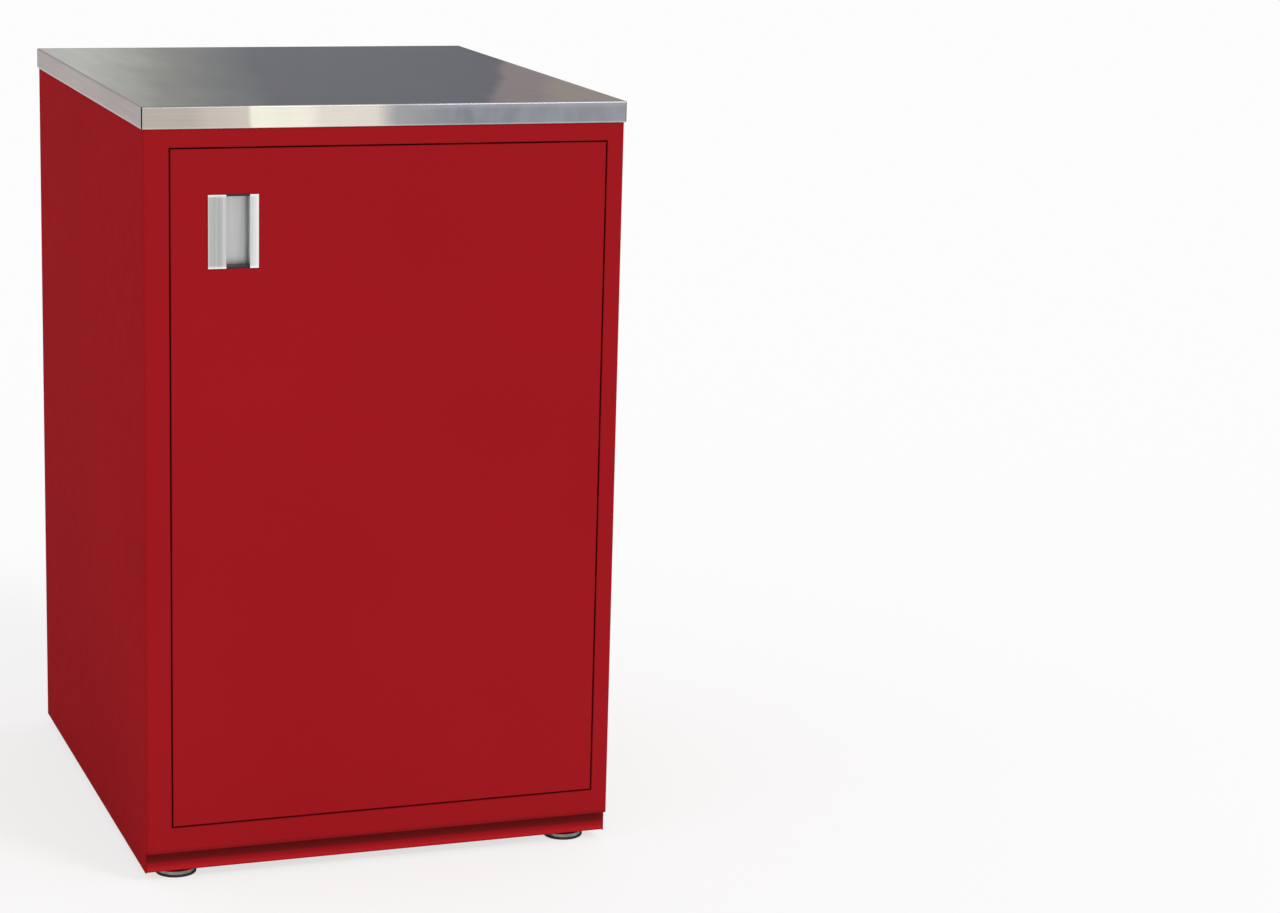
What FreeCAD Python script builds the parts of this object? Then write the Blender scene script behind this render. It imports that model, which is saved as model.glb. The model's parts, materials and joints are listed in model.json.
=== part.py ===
"""Side locker of a workshop tool chest, with a door that swings out on concealed pivots.

Millimetres. The origin is the middle of the footprint on the ground, +Z is up, the door
faces -Y and +X is to the right of someone who stands in front of it.
"""

import FreeCAD
import Part
import Sketcher

import os
from types import SimpleNamespace

Vector = FreeCAD.Vector

# ---------------------------------------------------------------- driving dimensions

DIMENSIONS = {
    # overall
    "overall_width": 610.0,
    "overall_depth": 711.0,
    "overall_height": 971.0,
    # folded steel
    "panel_sheet": 1.5,
    "light_sheet": 1.2,
    "bend_radius": 1.5,
    "panel_flange": 18.0,
    # base and feet
    "foot_clearance": 12.0,
    "toe_height": 28.0,
    "toe_setback": 10.5,
    "base_flange": 24.0,
    "foot_inset_side": 45.0,
    "foot_inset_end": 43.5,
    "foot_cup_radius": 26.0,
    "foot_cup_taper": 2.8,
    "foot_pad_height": 3.5,
    "foot_cup_height": 7.0,
    "foot_stem_radius": 6.0,
    "foot_stem_top": 44.0,
    "stem_slot_width": 1.6,
    "stem_slot_depth": 3.0,
    "foot_plate_width": 90.0,
    "foot_plate_thickness": 5.0,
    "weld_nut_width": 20.0,
    "weld_nut_height": 10.0,
    "running_clearance": 0.05,
    # door frame
    "left_stile": 31.0,
    "right_stile": 21.5,
    "jamb_depth": 22.0,
    "top_rail": 22.0,
    "bottom_rail": 32.0,
    "rail_depth": 30.0,
    "pan_flange": 20.0,
    "fold_clearance": 0.5,
    # worktop
    "worktop_overhang": 2.0,
    "worktop_band": 27.0,
    "worktop_return": 16.0,
    "worktop_corner_slot": 0.9,
    "screw_radius": 2.2,
    "screw_clearance": 0.4,
    "screw_head_radius": 4.2,
    "screw_head_height": 2.4,
    "worktop_screw_length": 18.0,
    # door
    "door_reveal": 1.9,
    "door_thickness": 20.0,
    "door_skin": 1.5,
    "door_bend": 1.0,
    "door_pan_flange": 12.0,
    "stiffener_width": 60.0,
    "stiffener_end_gap": 30.0,
    # concealed pivots
    "pivot_inset": 15.0,
    "knuckle_skin_gap": 0.5,
    "pin_radius": 2.5,
    "pin_head_radius": 3.6,
    "pin_head_height": 1.5,
    "knuckle_radius": 4.0,
    "arm_height": 24.0,
    "knuckle_height": 12.0,
    "knuckle_gap": 0.5,
    "leaf_thickness": 2.0,
    "leaf_width": 50.0,
    "notch_end_clearance": 5.5,
    "notch_side_clearance": 3.0,
    "hinge_end_distance": 90.0,
    "arm_thickness": 3.0,
    "arm_door_gap": 1.5,
    "arm_plate_depth": 34.0,
    "arm_first_screw": 12.0,
    "arm_screw_spacing": 15.0,
    # pocket and its slide
    "pocket_clearance": 5.0,
    "divider_flange": 28.0,
    "divider_setback": 64.0,
    "divider_return": 15.0,
    "track_height": 32.0,
    "track_depth": 14.0,
    "track_lip": 6.0,
    "track_length": 600.0,
    "track_front_gap": 28.0,
    "track_end_distance": 50.0,
    "carriage_gap": 0.5,
    "carriage_thickness": 2.5,
    "carriage_length": 140.0,
    "carrier_thickness": 3.0,
    "carrier_width": 40.0,
    "roller_width": 8.0,
    "roller_clearance": 0.3,
    "first_roller": 60.0,
    "roller_spacing": 60.0,
    "axle_radius": 3.0,
    "axle_head_radius": 5.0,
    "axle_head_height": 2.0,
    # shelf
    "shelf_top": 522.0,
    "shelf_setback": 67.0,
    "shelf_lip": 31.0,
    "shelf_lip_return": 12.0,
    "shelf_flange": 20.0,
    "shelf_side_gap": 1.0,
    "shelf_stiffener_width": 50.0,
    "shelf_stiffener_depth": 16.0,
    "shelf_stiffener_end_gap": 20.0,
    "bracket_length": 40.0,
    "bracket_reach": 16.0,
    "bracket_leg": 22.0,
    "bracket_thickness": 2.0,
    "bracket_end_distance": 90.0,
    # door pull
    "pull_left": 45.0,
    "pull_top": 55.3,
    "pull_height": 89.5,
    "pull_flange": 22.5,
    "pull_recess": 29.0,
    "pull_lip": 11.0,
    "pull_wall": 1.8,
    "pull_proud": 1.8,
    "pull_lead": 3.0,
    "pull_undercut": 5.0,
    "pull_grip": 5.0,
    "pull_back_proud": 0.4,
    "pull_edge_round": 0.6,
    "pull_groove_width": 1.4,
    "pull_groove_depth": 0.5,
    "pull_first_groove": 7.0,
    "pull_groove_pitch": 5.0,
    "end_cap_thickness": 2.2,
    "cutout_gap": 0.4,
    "stud_radius": 1.5,
    "stud_nut_width": 5.5,
    "stud_nut_height": 2.4,
    "stud_end_distance": 14.0,
    "stud_inset": 8.0,
    # catch and bumper
    "magnet_radius": 5.0,
    "magnet_length": 12.0,
    "magnet_clearance": 0.2,
    "magnet_from_edge": 40.0,
    "housing_wall": 3.0,
    "housing_ear": 9.0,
    "housing_bend_gap": 0.2,
    "catch_screw_radius": 1.4,
    "bumper_radius": 6.5,
    "bumper_thickness": 3.0,
    "bumper_door_gap": 0.2,
    "bumper_side_gap": 0.5,
    "bumper_floor_gap": 2.0,
    "bumper_screw_radius": 1.5,
    "bumper_head_radius": 2.8,
    "bumper_head_height": 1.0,
    "bumper_bracket_margin": 1.5,
    "bumper_leg_setback": 7.0,
    # back panel rivets
    "rivet_radius": 2.0,
    "rivet_head_radius": 3.6,
    "rivet_head_height": 1.2,
    "rivet_end_distance": 45.0,
}

RIVETS_PER_SIDE = 6
PULL_GROOVES = 2

doc = FreeCAD.newDocument("side_locker")
sheet = doc.addObject("Spreadsheet::Sheet", "Sizes")
for row, (alias, number) in enumerate(DIMENSIONS.items(), start=1):
    sheet.set(f"A{row}", str(number))
    sheet.setAlias(f"A{row}", alias)
doc.recompute()


class Size:
    """A size or place: its value, and the sheet expression that gives it."""

    def __init__(self, text, value):
        self.text = text
        self.value = value

    def _combine(self, other, sign, value):
        return Size(f"({self.text} {sign} {other.text})", value)

    def __add__(self, other):
        other = as_size(other)
        return self._combine(other, "+", self.value + other.value)

    def __sub__(self, other):
        other = as_size(other)
        return self._combine(other, "-", self.value - other.value)

    def __mul__(self, other):
        other = as_size(other)
        return self._combine(other, "*", self.value * other.value)

    def __truediv__(self, other):
        other = as_size(other)
        return self._combine(other, "/", self.value / other.value)

    def __neg__(self):
        return Size(f"(0 - {self.text})", -self.value)

    def __radd__(self, other):
        return as_size(other) + self

    def __rsub__(self, other):
        return as_size(other) - self

    def __rmul__(self, other):
        return self * other


def as_size(number):
    """A plain number as a Size, and a Size as it is."""
    if isinstance(number, Size):
        return number
    return Size(f"({float(number)})", float(number))


S = SimpleNamespace(**{alias: Size(f"Sizes.{alias}", sheet.get(alias)) for alias in DIMENSIONS})

# ---------------------------------------------------------------- places

FRONT = S.worktop_overhang - S.overall_depth / 2
BACK = -FRONT
LEFT = S.worktop_overhang - S.overall_width / 2
RIGHT = -LEFT
INNER_LEFT = LEFT + S.panel_sheet
INNER_RIGHT = RIGHT - S.panel_sheet
INNER_BACK = BACK - S.panel_sheet * 2

BASE_BOTTOM = S.foot_clearance
BODY_BOTTOM = BASE_BOTTOM + S.toe_height
BODY_TOP = S.overall_height - S.worktop_band

OPENING_LEFT = LEFT + S.left_stile
OPENING_RIGHT = RIGHT - S.right_stile
OPENING_BOTTOM = BODY_BOTTOM + S.bottom_rail
OPENING_TOP = BODY_TOP - S.top_rail
CEILING = BODY_TOP - S.panel_sheet

DOOR_LEFT = OPENING_LEFT + S.door_reveal
DOOR_RIGHT = OPENING_RIGHT - S.door_reveal
DOOR_BOTTOM = OPENING_BOTTOM + S.door_reveal
DOOR_TOP = OPENING_TOP - S.door_reveal
DOOR_BACK = FRONT + S.door_thickness

PIVOT_X = OPENING_RIGHT - S.pivot_inset
PIVOT_SETBACK = S.door_skin + S.knuckle_skin_gap + S.knuckle_radius
PIVOT_Y = FRONT + PIVOT_SETBACK

# the door stands parallel to the side, one setback to the right of its pivots, when open
OPEN_DOOR_RIGHT = PIVOT_X + PIVOT_SETBACK
OPEN_DOOR_LEFT = OPEN_DOOR_RIGHT - S.door_thickness
DIVIDER_FLANGE_END = OPEN_DOOR_LEFT - S.pocket_clearance
DIVIDER_LEFT = DIVIDER_FLANGE_END - S.divider_flange
DIVIDER_FRONT = FRONT + S.divider_setback

# a notch in the door's edge clears the barrels and lets the arms swing through
NOTCH_LEFT = PIVOT_X - S.knuckle_radius - S.notch_side_clearance

HINGE_HEIGHTS = {
    "lower": DOOR_BOTTOM + S.hinge_end_distance,
    "middle": (DOOR_BOTTOM + DOOR_TOP) / 2,
    "upper": DOOR_TOP - S.hinge_end_distance,
}

# ---------------------------------------------------------------- building blocks

OVER = 1.0          # how far a cutter reaches past the face that it cuts
TOLERANCE = 0.01    # places closer than this are the same place

ALONG = {
    "x": FreeCAD.Rotation(Vector(0, 1, 0), 90),
    "y": FreeCAD.Rotation(Vector(1, 0, 0), -90),
    "z": FreeCAD.Rotation(),
}
PLANES = {"x": "YZ_Plane", "y": "XZ_Plane", "z": "XY_Plane"}
DRAWN_AXES = {"x": (1, 2), "y": (0, 2), "z": (0, 1)}


def bind(obj, prop, size):
    """Tie a property to the sheet."""
    obj.setExpression(prop, as_size(size).text)


def place(obj, x, y, z):
    """Tie an object's position to the sheet."""
    for letter, size in zip("xyz", (x, y, z)):
        bind(obj, f"Placement.Base.{letter}", size)


def box(label, x, y, z):
    """A block; x, y and z are (low, high) pairs."""
    block = doc.addObject("Part::Box", label)
    for prop, (low, high) in zip(("Length", "Width", "Height"), (x, y, z)):
        bind(block, prop, high - low)
    place(block, x[0], y[0], z[0])
    return block


def rod(label, axis, start, radius, length):
    """A cylinder that runs from its start point along an axis letter."""
    cylinder = doc.addObject("Part::Cylinder", label)
    cylinder.Placement = FreeCAD.Placement(Vector(), ALONG[axis])
    bind(cylinder, "Radius", radius)
    bind(cylinder, "Height", length)
    place(cylinder, *start)
    return cylinder


def hexagon(label, axis, start, width, length):
    """A hexagonal prism, width across its flats."""
    prism = doc.addObject("Part::Prism", label)
    prism.Polygon = 6
    prism.Placement = FreeCAD.Placement(Vector(), ALONG[axis])
    bind(prism, "Circumradius", width / 3 ** 0.5)
    bind(prism, "Height", length)
    place(prism, *start)
    return prism


def fuse(label, pieces):
    """Pieces that touch, as one solid."""
    joined = doc.addObject("Part::MultiFuse", label)
    joined.Shapes = pieces
    joined.Refine = True
    return joined


def cut(label, base, tools):
    """A piece with its tools taken out of it."""
    tool = tools[0] if len(tools) == 1 else fuse(label + "_cutters", tools)
    result = doc.addObject("Part::Cut", label)
    result.Base = base
    result.Tool = tool
    return result


def group(label, pieces):
    """Separate solids under one name."""
    compound = doc.addObject("Part::Compound", label)
    compound.Links = pieces
    return compound


def ring(label, axis, start, radius, hole_radius, length):
    """A cylinder with a hole along its axis."""
    outside = rod(label + "_outside", axis, start, radius, length)
    hole = rod(label + "_hole", axis, start, hole_radius, length)
    return cut(label, outside, [hole])


def draw_outline(body, label, axis, outline):
    """A closed sketch of straight lines whose corners are tied to the sheet."""
    sketch = body.newObject("Sketcher::SketchObject", label)
    plane = [item for item in body.Origin.OriginFeatures if item.Role == PLANES[axis]][0]
    sketch.AttachmentSupport = (plane, "")
    sketch.MapMode = "FlatFace"
    corners = [(as_size(across), as_size(up)) for across, up in outline]
    spots = [Vector(across.value, up.value, 0) for across, up in corners]
    count = len(spots)
    for index in range(count):
        line = Part.LineSegment(spots[index], spots[(index + 1) % count])
        sketch.addGeometry(line, False)
    for index in range(count):
        joint = Sketcher.Constraint("Coincident", index, 2, (index + 1) % count, 1)
        sketch.addConstraint(joint)
    for index, corner in enumerate(corners):
        for kind, size in zip(("DistanceX", "DistanceY"), corner):
            number = sketch.addConstraint(Sketcher.Constraint(kind, index, 1, size.value))
            bind(sketch, f"Constraints[{number}]", size)
    return sketch


def corner_edges(shape, axis, corner):
    """Names of a padded outline's long edges that start at one of its corners."""
    first, second = DRAWN_AXES[axis]
    names = []
    for number, edge in enumerate(shape.Edges, start=1):
        ends = [vertex.Point for vertex in edge.Vertexes]
        offsets = [abs(end[first] - corner[0].value) + abs(end[second] - corner[1].value)
                   for end in ends]
        if len(ends) == 2 and max(offsets) < TOLERANCE:
            names.append(f"Edge{number}")
    return names


def round_off(body, label, base, edges, radius):
    """Round the named edges of a body's last feature."""
    rounding = body.newObject("PartDesign::Fillet", label)
    rounding.Base = (base, edges)
    bind(rounding, "Radius", radius)
    body.Tip = rounding
    return rounding


def padded(label, axis, low, high, outline, bends=()):
    """A body: an outline padded along an axis, with bends as (radius, corner numbers)."""
    body = doc.addObject("PartDesign::Body", label)
    sketch = draw_outline(body, label + "_outline", axis, outline)
    pad = body.newObject("PartDesign::Pad", label + "_pad")
    pad.Profile = sketch
    bind(pad, "Length", high - low)
    bind(body, f"Placement.Base.{axis}", high if axis == "y" else low)
    base = pad
    for number, (radius, corners) in enumerate(bends):
        doc.recompute()
        edges = []
        for corner in corners:
            edges += corner_edges(base.Shape, axis, outline[corner])
        base = round_off(body, f"{label}_bend{number}", base, edges, radius)
    return body


def rounded_block(label, x, y, z, radius, chosen):
    """A body: a block whose edges named by the chosen function are rounded."""
    outline = [(x[0], y[0]), (x[1], y[0]), (x[1], y[1]), (x[0], y[1])]
    body = padded(label, "z", z[0], z[1], outline)
    doc.recompute()
    base = body.Tip
    edges = [f"Edge{number}" for number, edge in enumerate(base.Shape.Edges, start=1)
             if chosen(edge)]
    round_off(body, label + "_rounding", base, edges, radius)
    return body


# ---------------------------------------------------------------- cabinet body

def stile_outline(side, edge, jamb):
    """Plan of a side panel: rear flange, web, stile face and jamb return.

    side is -1 on the left and +1 on the right; edge is the outer face, jamb the opening's.
    """
    skin = S.panel_sheet * side
    return [
        (jamb, FRONT + S.jamb_depth),
        (jamb, FRONT),
        (edge, FRONT),
        (edge, BACK),
        (edge - S.panel_flange * side, BACK),
        (edge - S.panel_flange * side, BACK - S.panel_sheet),
        (edge - skin, BACK - S.panel_sheet),
        (edge - skin, FRONT + S.panel_sheet),
        (jamb + skin, FRONT + S.panel_sheet),
        (jamb + skin, FRONT + S.jamb_depth),
    ]


def ordered(first, second):
    """Two places as a (low, high) pair."""
    return (first, second) if first.value < second.value else (second, first)


def side_panel(label, side, edge, jamb):
    """A folded side with its stile; the toe notch opens its lower front corner."""
    outline = stile_outline(side, edge, jamb)
    bends = [(S.bend_radius + S.panel_sheet, (2, 3)), (S.bend_radius, (6, 7))]
    wall = padded(label + "_sheet", "z", BASE_BOTTOM, BODY_TOP, outline, bends)
    base_x = ordered(edge - S.panel_sheet * side, edge - S.base_flange * side)
    base_y = (FRONT + S.toe_setback + S.base_flange, INNER_BACK)
    base = box(label + "_base", base_x, base_y, (BASE_BOTTOM, BASE_BOTTOM + S.panel_sheet))
    folded = fuse(label + "_folded", [wall, base])
    below = (BASE_BOTTOM - OVER, BODY_BOTTOM)
    notches = [
        box(label + "_toe", ordered(edge + OVER * side, jamb - OVER * side),
            (FRONT - OVER, FRONT + S.toe_setback), below),
        box(label + "_foot", ordered(edge - S.panel_sheet * side, jamb - OVER * side),
            (FRONT - OVER, FRONT + S.jamb_depth + OVER), below),
    ]
    return cut(label, folded, notches)


def rail_outline(low, high):
    """Section of a front rail: a channel that opens to the rear."""
    depth = FRONT + S.rail_depth
    inner = FRONT + S.panel_sheet
    return [
        (depth, low), (FRONT, low), (FRONT, high), (depth, high),
        (depth, high - S.panel_sheet), (inner, high - S.panel_sheet),
        (inner, low + S.panel_sheet), (depth, low + S.panel_sheet),
    ]


def magnet_place():
    """Centre of the catch magnet in plan, its housing just clear of the rail's bend."""
    bend_end = FRONT + S.panel_sheet + S.bend_radius + S.housing_bend_gap
    return DOOR_LEFT + S.magnet_from_edge, bend_end + S.housing_wall + S.magnet_radius


def top_rail():
    channel = padded("top_rail_channel", "x", OPENING_LEFT, OPENING_RIGHT,
                     rail_outline(OPENING_TOP, BODY_TOP), [(S.bend_radius, (5, 6))])
    x, y = magnet_place()
    holes = [rod("top_rail_magnet_hole", "z", (x, y, OPENING_TOP - OVER),
                 S.magnet_radius + S.magnet_clearance, S.panel_sheet + OVER * 2)]
    for number, offset in enumerate(catch_screw_offsets()):
        holes.append(rod(f"top_rail_screw_hole{number}", "z", (x + offset, y, OPENING_TOP - OVER),
                         S.catch_screw_radius + S.screw_clearance, S.panel_sheet + OVER * 2))
    return cut("top_rail", channel, holes)


def bottom_rail():
    return padded("bottom_rail", "x", OPENING_LEFT, OPENING_RIGHT,
                  rail_outline(BODY_BOTTOM, OPENING_BOTTOM), [(S.bend_radius, (5, 6))])


def pan(label, x, y, low, high):
    """Block and hollow of a folded tray: a plate with a flange down along each side."""
    block = box(label + "_block", x, y, (low, high))
    hollow_x = (x[0] + S.panel_sheet, x[1] - S.panel_sheet)
    hollow_y = (y[0] + S.panel_sheet, y[1] - S.panel_sheet)
    hollow_z = (low - OVER, high - S.panel_sheet)
    return block, box(label + "_hollow", hollow_x, hollow_y, hollow_z)


def worktop_screw_places():
    """Plan places of the screws that hold the worktop, in two rows of three."""
    inset_x = S.panel_flange + S.worktop_return
    inset_y = S.rail_depth + S.worktop_return
    return [(x, y)
            for x in (LEFT + inset_x, as_size(0), RIGHT - inset_x)
            for y in (FRONT + inset_y, BACK - inset_y)]


def top_panel():
    block, hollow = pan("top_panel", (INNER_LEFT, INNER_RIGHT),
                        (FRONT + S.rail_depth, INNER_BACK),
                        BODY_TOP - S.pan_flange, BODY_TOP)
    holes = [rod(f"top_panel_hole{number}", "z", (x, y, CEILING - OVER),
                 S.screw_radius + S.screw_clearance, S.panel_sheet + OVER * 2)
             for number, (x, y) in enumerate(worktop_screw_places())]
    return cut("top_panel", block, [hollow] + holes)


def floor_panel():
    block, hollow = pan("floor_panel", (INNER_LEFT, INNER_RIGHT),
                        (FRONT + S.rail_depth, INNER_BACK),
                        OPENING_BOTTOM - S.pan_flange, OPENING_BOTTOM)
    return cut("floor_panel", block, [hollow])


def rivet_heights():
    """Heights of the back panel's rivets."""
    low = BASE_BOTTOM + S.rivet_end_distance
    step = (BODY_TOP - S.rivet_end_distance - low) / (RIVETS_PER_SIDE - 1)
    return [low + step * number for number in range(RIVETS_PER_SIDE)]


def rivet_places():
    """Each rivet as (x, z), in the middle of a side panel's rear flange."""
    inset = (S.panel_flange + S.panel_sheet) / 2
    return [(x, z) for x in (LEFT + inset, RIGHT - inset) for z in rivet_heights()]


def back_panel():
    plate = box("back_panel_plate", (INNER_LEFT + S.bend_radius, INNER_RIGHT - S.bend_radius),
                (INNER_BACK, INNER_BACK + S.panel_sheet), (BASE_BOTTOM, BODY_TOP))
    holes = [rod(f"back_panel_hole{number}", "y", (x, INNER_BACK - OVER, z),
                 S.rivet_radius, S.panel_sheet + OVER * 2)
             for number, (x, z) in enumerate(rivet_places())]
    return cut("back_panel", plate, holes)


def pierced_for_rivets(label, panel, x_side):
    """A side panel with its rear flange drilled for the rivets on its side."""
    holes = [rod(f"{label}_rivet_hole{number}", "y", (x, INNER_BACK, z),
                 S.rivet_radius, S.panel_sheet * 2 + OVER)
             for number, (x, z) in enumerate(rivet_places()) if x.value * x_side > 0]
    return cut(label, panel, holes)


def body_rivets():
    """Blind rivets through the rear flanges and the back panel."""
    rivets = []
    for number, (x, z) in enumerate(rivet_places()):
        shank = rod(f"rivet_shank{number}", "y", (x, INNER_BACK, z),
                    S.rivet_radius, S.panel_sheet * 2)
        head = rod(f"rivet_head{number}", "y", (x, BACK, z),
                   S.rivet_head_radius, S.rivet_head_height)
        rivets.append(fuse(f"rivet{number}", [shank, head]))
    return group("body_rivets", rivets)


# ---------------------------------------------------------------- base and feet

def base_outline(face, inward):
    """Section of a base channel; inward is +1 where its flanges point to the rear."""
    far = face + S.base_flange * inward
    inner = face + S.panel_sheet * inward
    return [
        (far, BASE_BOTTOM), (face, BASE_BOTTOM), (face, BODY_BOTTOM), (far, BODY_BOTTOM),
        (far, BODY_BOTTOM - S.panel_sheet), (inner, BODY_BOTTOM - S.panel_sheet),
        (inner, BASE_BOTTOM + S.panel_sheet), (far, BASE_BOTTOM + S.panel_sheet),
    ]


def toe_plate():
    """The recessed front channel under the body."""
    outline = base_outline(FRONT + S.toe_setback, 1)
    bends = [(S.bend_radius, (5, 6)), (S.bend_radius + S.panel_sheet, (1,))]
    return padded("toe_plate", "x", INNER_LEFT, INNER_RIGHT, outline, bends)


def rear_base_rail():
    outline = base_outline(INNER_BACK, -1)
    left_end = INNER_LEFT + S.base_flange - S.panel_sheet
    right_end = INNER_RIGHT - S.base_flange + S.panel_sheet
    return padded("rear_base_rail", "x", left_end, right_end, outline, [(S.bend_radius, (5, 6))])


def foot_places():
    """Plan place of each levelling foot and the two directions towards the middle."""
    left_x = LEFT + S.foot_inset_side
    right_x = RIGHT - S.foot_inset_side
    front_y = FRONT + S.foot_inset_end
    rear_y = BACK - S.foot_inset_end
    return {
        "front_left": (left_x, front_y, 1, 1),
        "front_right": (right_x, front_y, -1, 1),
        "rear_left": (left_x, rear_y, 1, -1),
        "rear_right": (right_x, rear_y, -1, -1),
    }


PLATE_BOTTOM = BASE_BOTTOM + S.panel_sheet
PLATE_TOP = PLATE_BOTTOM + S.foot_plate_thickness


def foot_plates():
    """A corner plate over the base flanges at each foot."""
    plates = []
    for name, (x, y, toward_x, toward_y) in foot_places().items():
        corner_x = INNER_LEFT if toward_x > 0 else INNER_RIGHT
        toe = FRONT + S.toe_setback + S.panel_sheet + S.bend_radius
        corner_y = toe if toward_y > 0 else INNER_BACK - S.panel_sheet - S.bend_radius
        plate = box(f"{name}_plate_block", ordered(corner_x, corner_x + S.foot_plate_width * toward_x),
                    ordered(corner_y, corner_y + S.foot_plate_width * toward_y),
                    (PLATE_BOTTOM, PLATE_TOP))
        hole = rod(f"{name}_plate_hole", "z", (x, y, PLATE_BOTTOM - OVER),
                   S.foot_stem_radius + S.screw_clearance, S.foot_plate_thickness + OVER * 2)
        plates.append(cut(f"{name}_plate", plate, [hole]))
    return group("foot_plates", plates)


def foot_weld_nuts():
    nuts = []
    for name, (x, y, _, _) in foot_places().items():
        blank = hexagon(f"{name}_nut_blank", "z", (x, y, PLATE_TOP), S.weld_nut_width,
                        S.weld_nut_height)
        bore = rod(f"{name}_nut_bore", "z", (x, y, PLATE_TOP - OVER),
                   S.foot_stem_radius + S.running_clearance, S.weld_nut_height + OVER * 2)
        nuts.append(cut(f"{name}_nut", blank, [bore]))
    return group("foot_weld_nuts", nuts)


def foot_pad(name, x, y):
    """The rubber disc under a foot, with a short rim around the cup."""
    radius = S.foot_cup_radius
    disc = rod(f"{name}_foot_pad_disc", "z", (x, y, as_size(0)), radius, S.foot_pad_height)
    seat = rod(f"{name}_foot_pad_seat", "z", (x, y, S.foot_pad_height / 2),
               radius - S.light_sheet, S.foot_pad_height)
    return cut(f"{name}_foot_pad", disc, [seat])


def foot_cup(name, x, y):
    """The steel cup: a steep cone with a flat top around the stem."""
    base = S.foot_pad_height / 2
    radius = S.foot_cup_radius - S.light_sheet
    cone = doc.addObject("Part::Cone", f"{name}_foot_cup_cone")
    bind(cone, "Radius1", radius)
    bind(cone, "Radius2", radius - S.foot_cup_taper)
    bind(cone, "Height", S.foot_cup_height)
    place(cone, x, y, base)
    bore = rod(f"{name}_foot_cup_bore", "z", (x, y, base + S.foot_cup_height / 2),
               S.foot_stem_radius + S.running_clearance, S.foot_cup_height)
    return cut(f"{name}_foot_cup", cone, [bore])


def foot_stem(name, x, y):
    """The stem with a screwdriver slot in its top."""
    start = S.foot_pad_height / 2 + S.foot_cup_height / 2
    stem = rod(f"{name}_foot_stem_rod", "z", (x, y, start), S.foot_stem_radius,
               S.foot_stem_top - start)
    slot = box(f"{name}_foot_stem_slot", (x - S.foot_stem_radius * 2, x + S.foot_stem_radius * 2),
               (y - S.stem_slot_width / 2, y + S.stem_slot_width / 2),
               (S.foot_stem_top - S.stem_slot_depth, S.foot_stem_top + OVER))
    return cut(f"{name}_foot_stem", stem, [slot])


# ---------------------------------------------------------------- worktop

def worktop_skin():
    """Stainless top with edge bands folded down, returned underneath, and open corners."""
    half_x = S.overall_width / 2
    half_y = S.overall_depth / 2
    top = S.overall_height

    def upper_or_corner(edge):
        ends = [vertex.Point.z for vertex in edge.Vertexes]
        upright = abs(ends[0] - ends[1]) > 1
        return upright or min(ends) > S.worktop_band.value - TOLERANCE

    outer = rounded_block("worktop_skin_block", (-half_x, half_x), (-half_y, half_y),
                          (BODY_TOP, top), S.bend_radius, upper_or_corner)
    wall = S.panel_sheet
    cavity = box("worktop_skin_cavity", (wall - half_x, half_x - wall),
                 (wall - half_y, half_y - wall), (BODY_TOP + wall, top - wall))
    lip = S.worktop_return
    window = box("worktop_skin_window", (lip - half_x, half_x - lip),
                 (lip - half_y, half_y - lip), (BODY_TOP - OVER, BODY_TOP + wall + OVER))
    slots = []
    for side in (-1, 1):
        for end in (-1, 1):
            near = (half_x - wall) * side
            far = (half_x - wall - S.worktop_corner_slot) * side
            across = ordered((half_y + OVER) * end, (half_y - wall) * end)
            slots.append(box(f"worktop_slot_{side + 1}_{end + 1}", ordered(near, far), across,
                             (BODY_TOP - OVER, top - wall - S.bend_radius)))
    return cut("worktop_skin", outer, [cavity, window] + slots)


def worktop_core():
    """The board that fills the worktop skin."""
    half_x = S.overall_width / 2 - S.panel_sheet
    half_y = S.overall_depth / 2 - S.panel_sheet
    board = box("worktop_core_board", (-half_x, half_x), (-half_y, half_y),
                (BODY_TOP + S.panel_sheet, S.overall_height - S.panel_sheet))
    holes = [rod(f"worktop_core_hole{number}", "z", (x, y, BODY_TOP), S.screw_radius,
                 S.worktop_screw_length - S.panel_sheet + OVER)
             for number, (x, y) in enumerate(worktop_screw_places())]
    return cut("worktop_core", board, holes)


def worktop_screws():
    screws = []
    for number, (x, y) in enumerate(worktop_screw_places()):
        shank = rod(f"worktop_screw_shank{number}", "z", (x, y, CEILING), S.screw_radius,
                    S.worktop_screw_length)
        head = rod(f"worktop_screw_head{number}", "z", (x, y, CEILING - S.screw_head_height),
                   S.screw_head_radius, S.screw_head_height)
        screws.append(fuse(f"worktop_screw{number}", [shank, head]))
    return group("worktop_screws", screws)


# ---------------------------------------------------------------- pocket and slide

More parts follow.
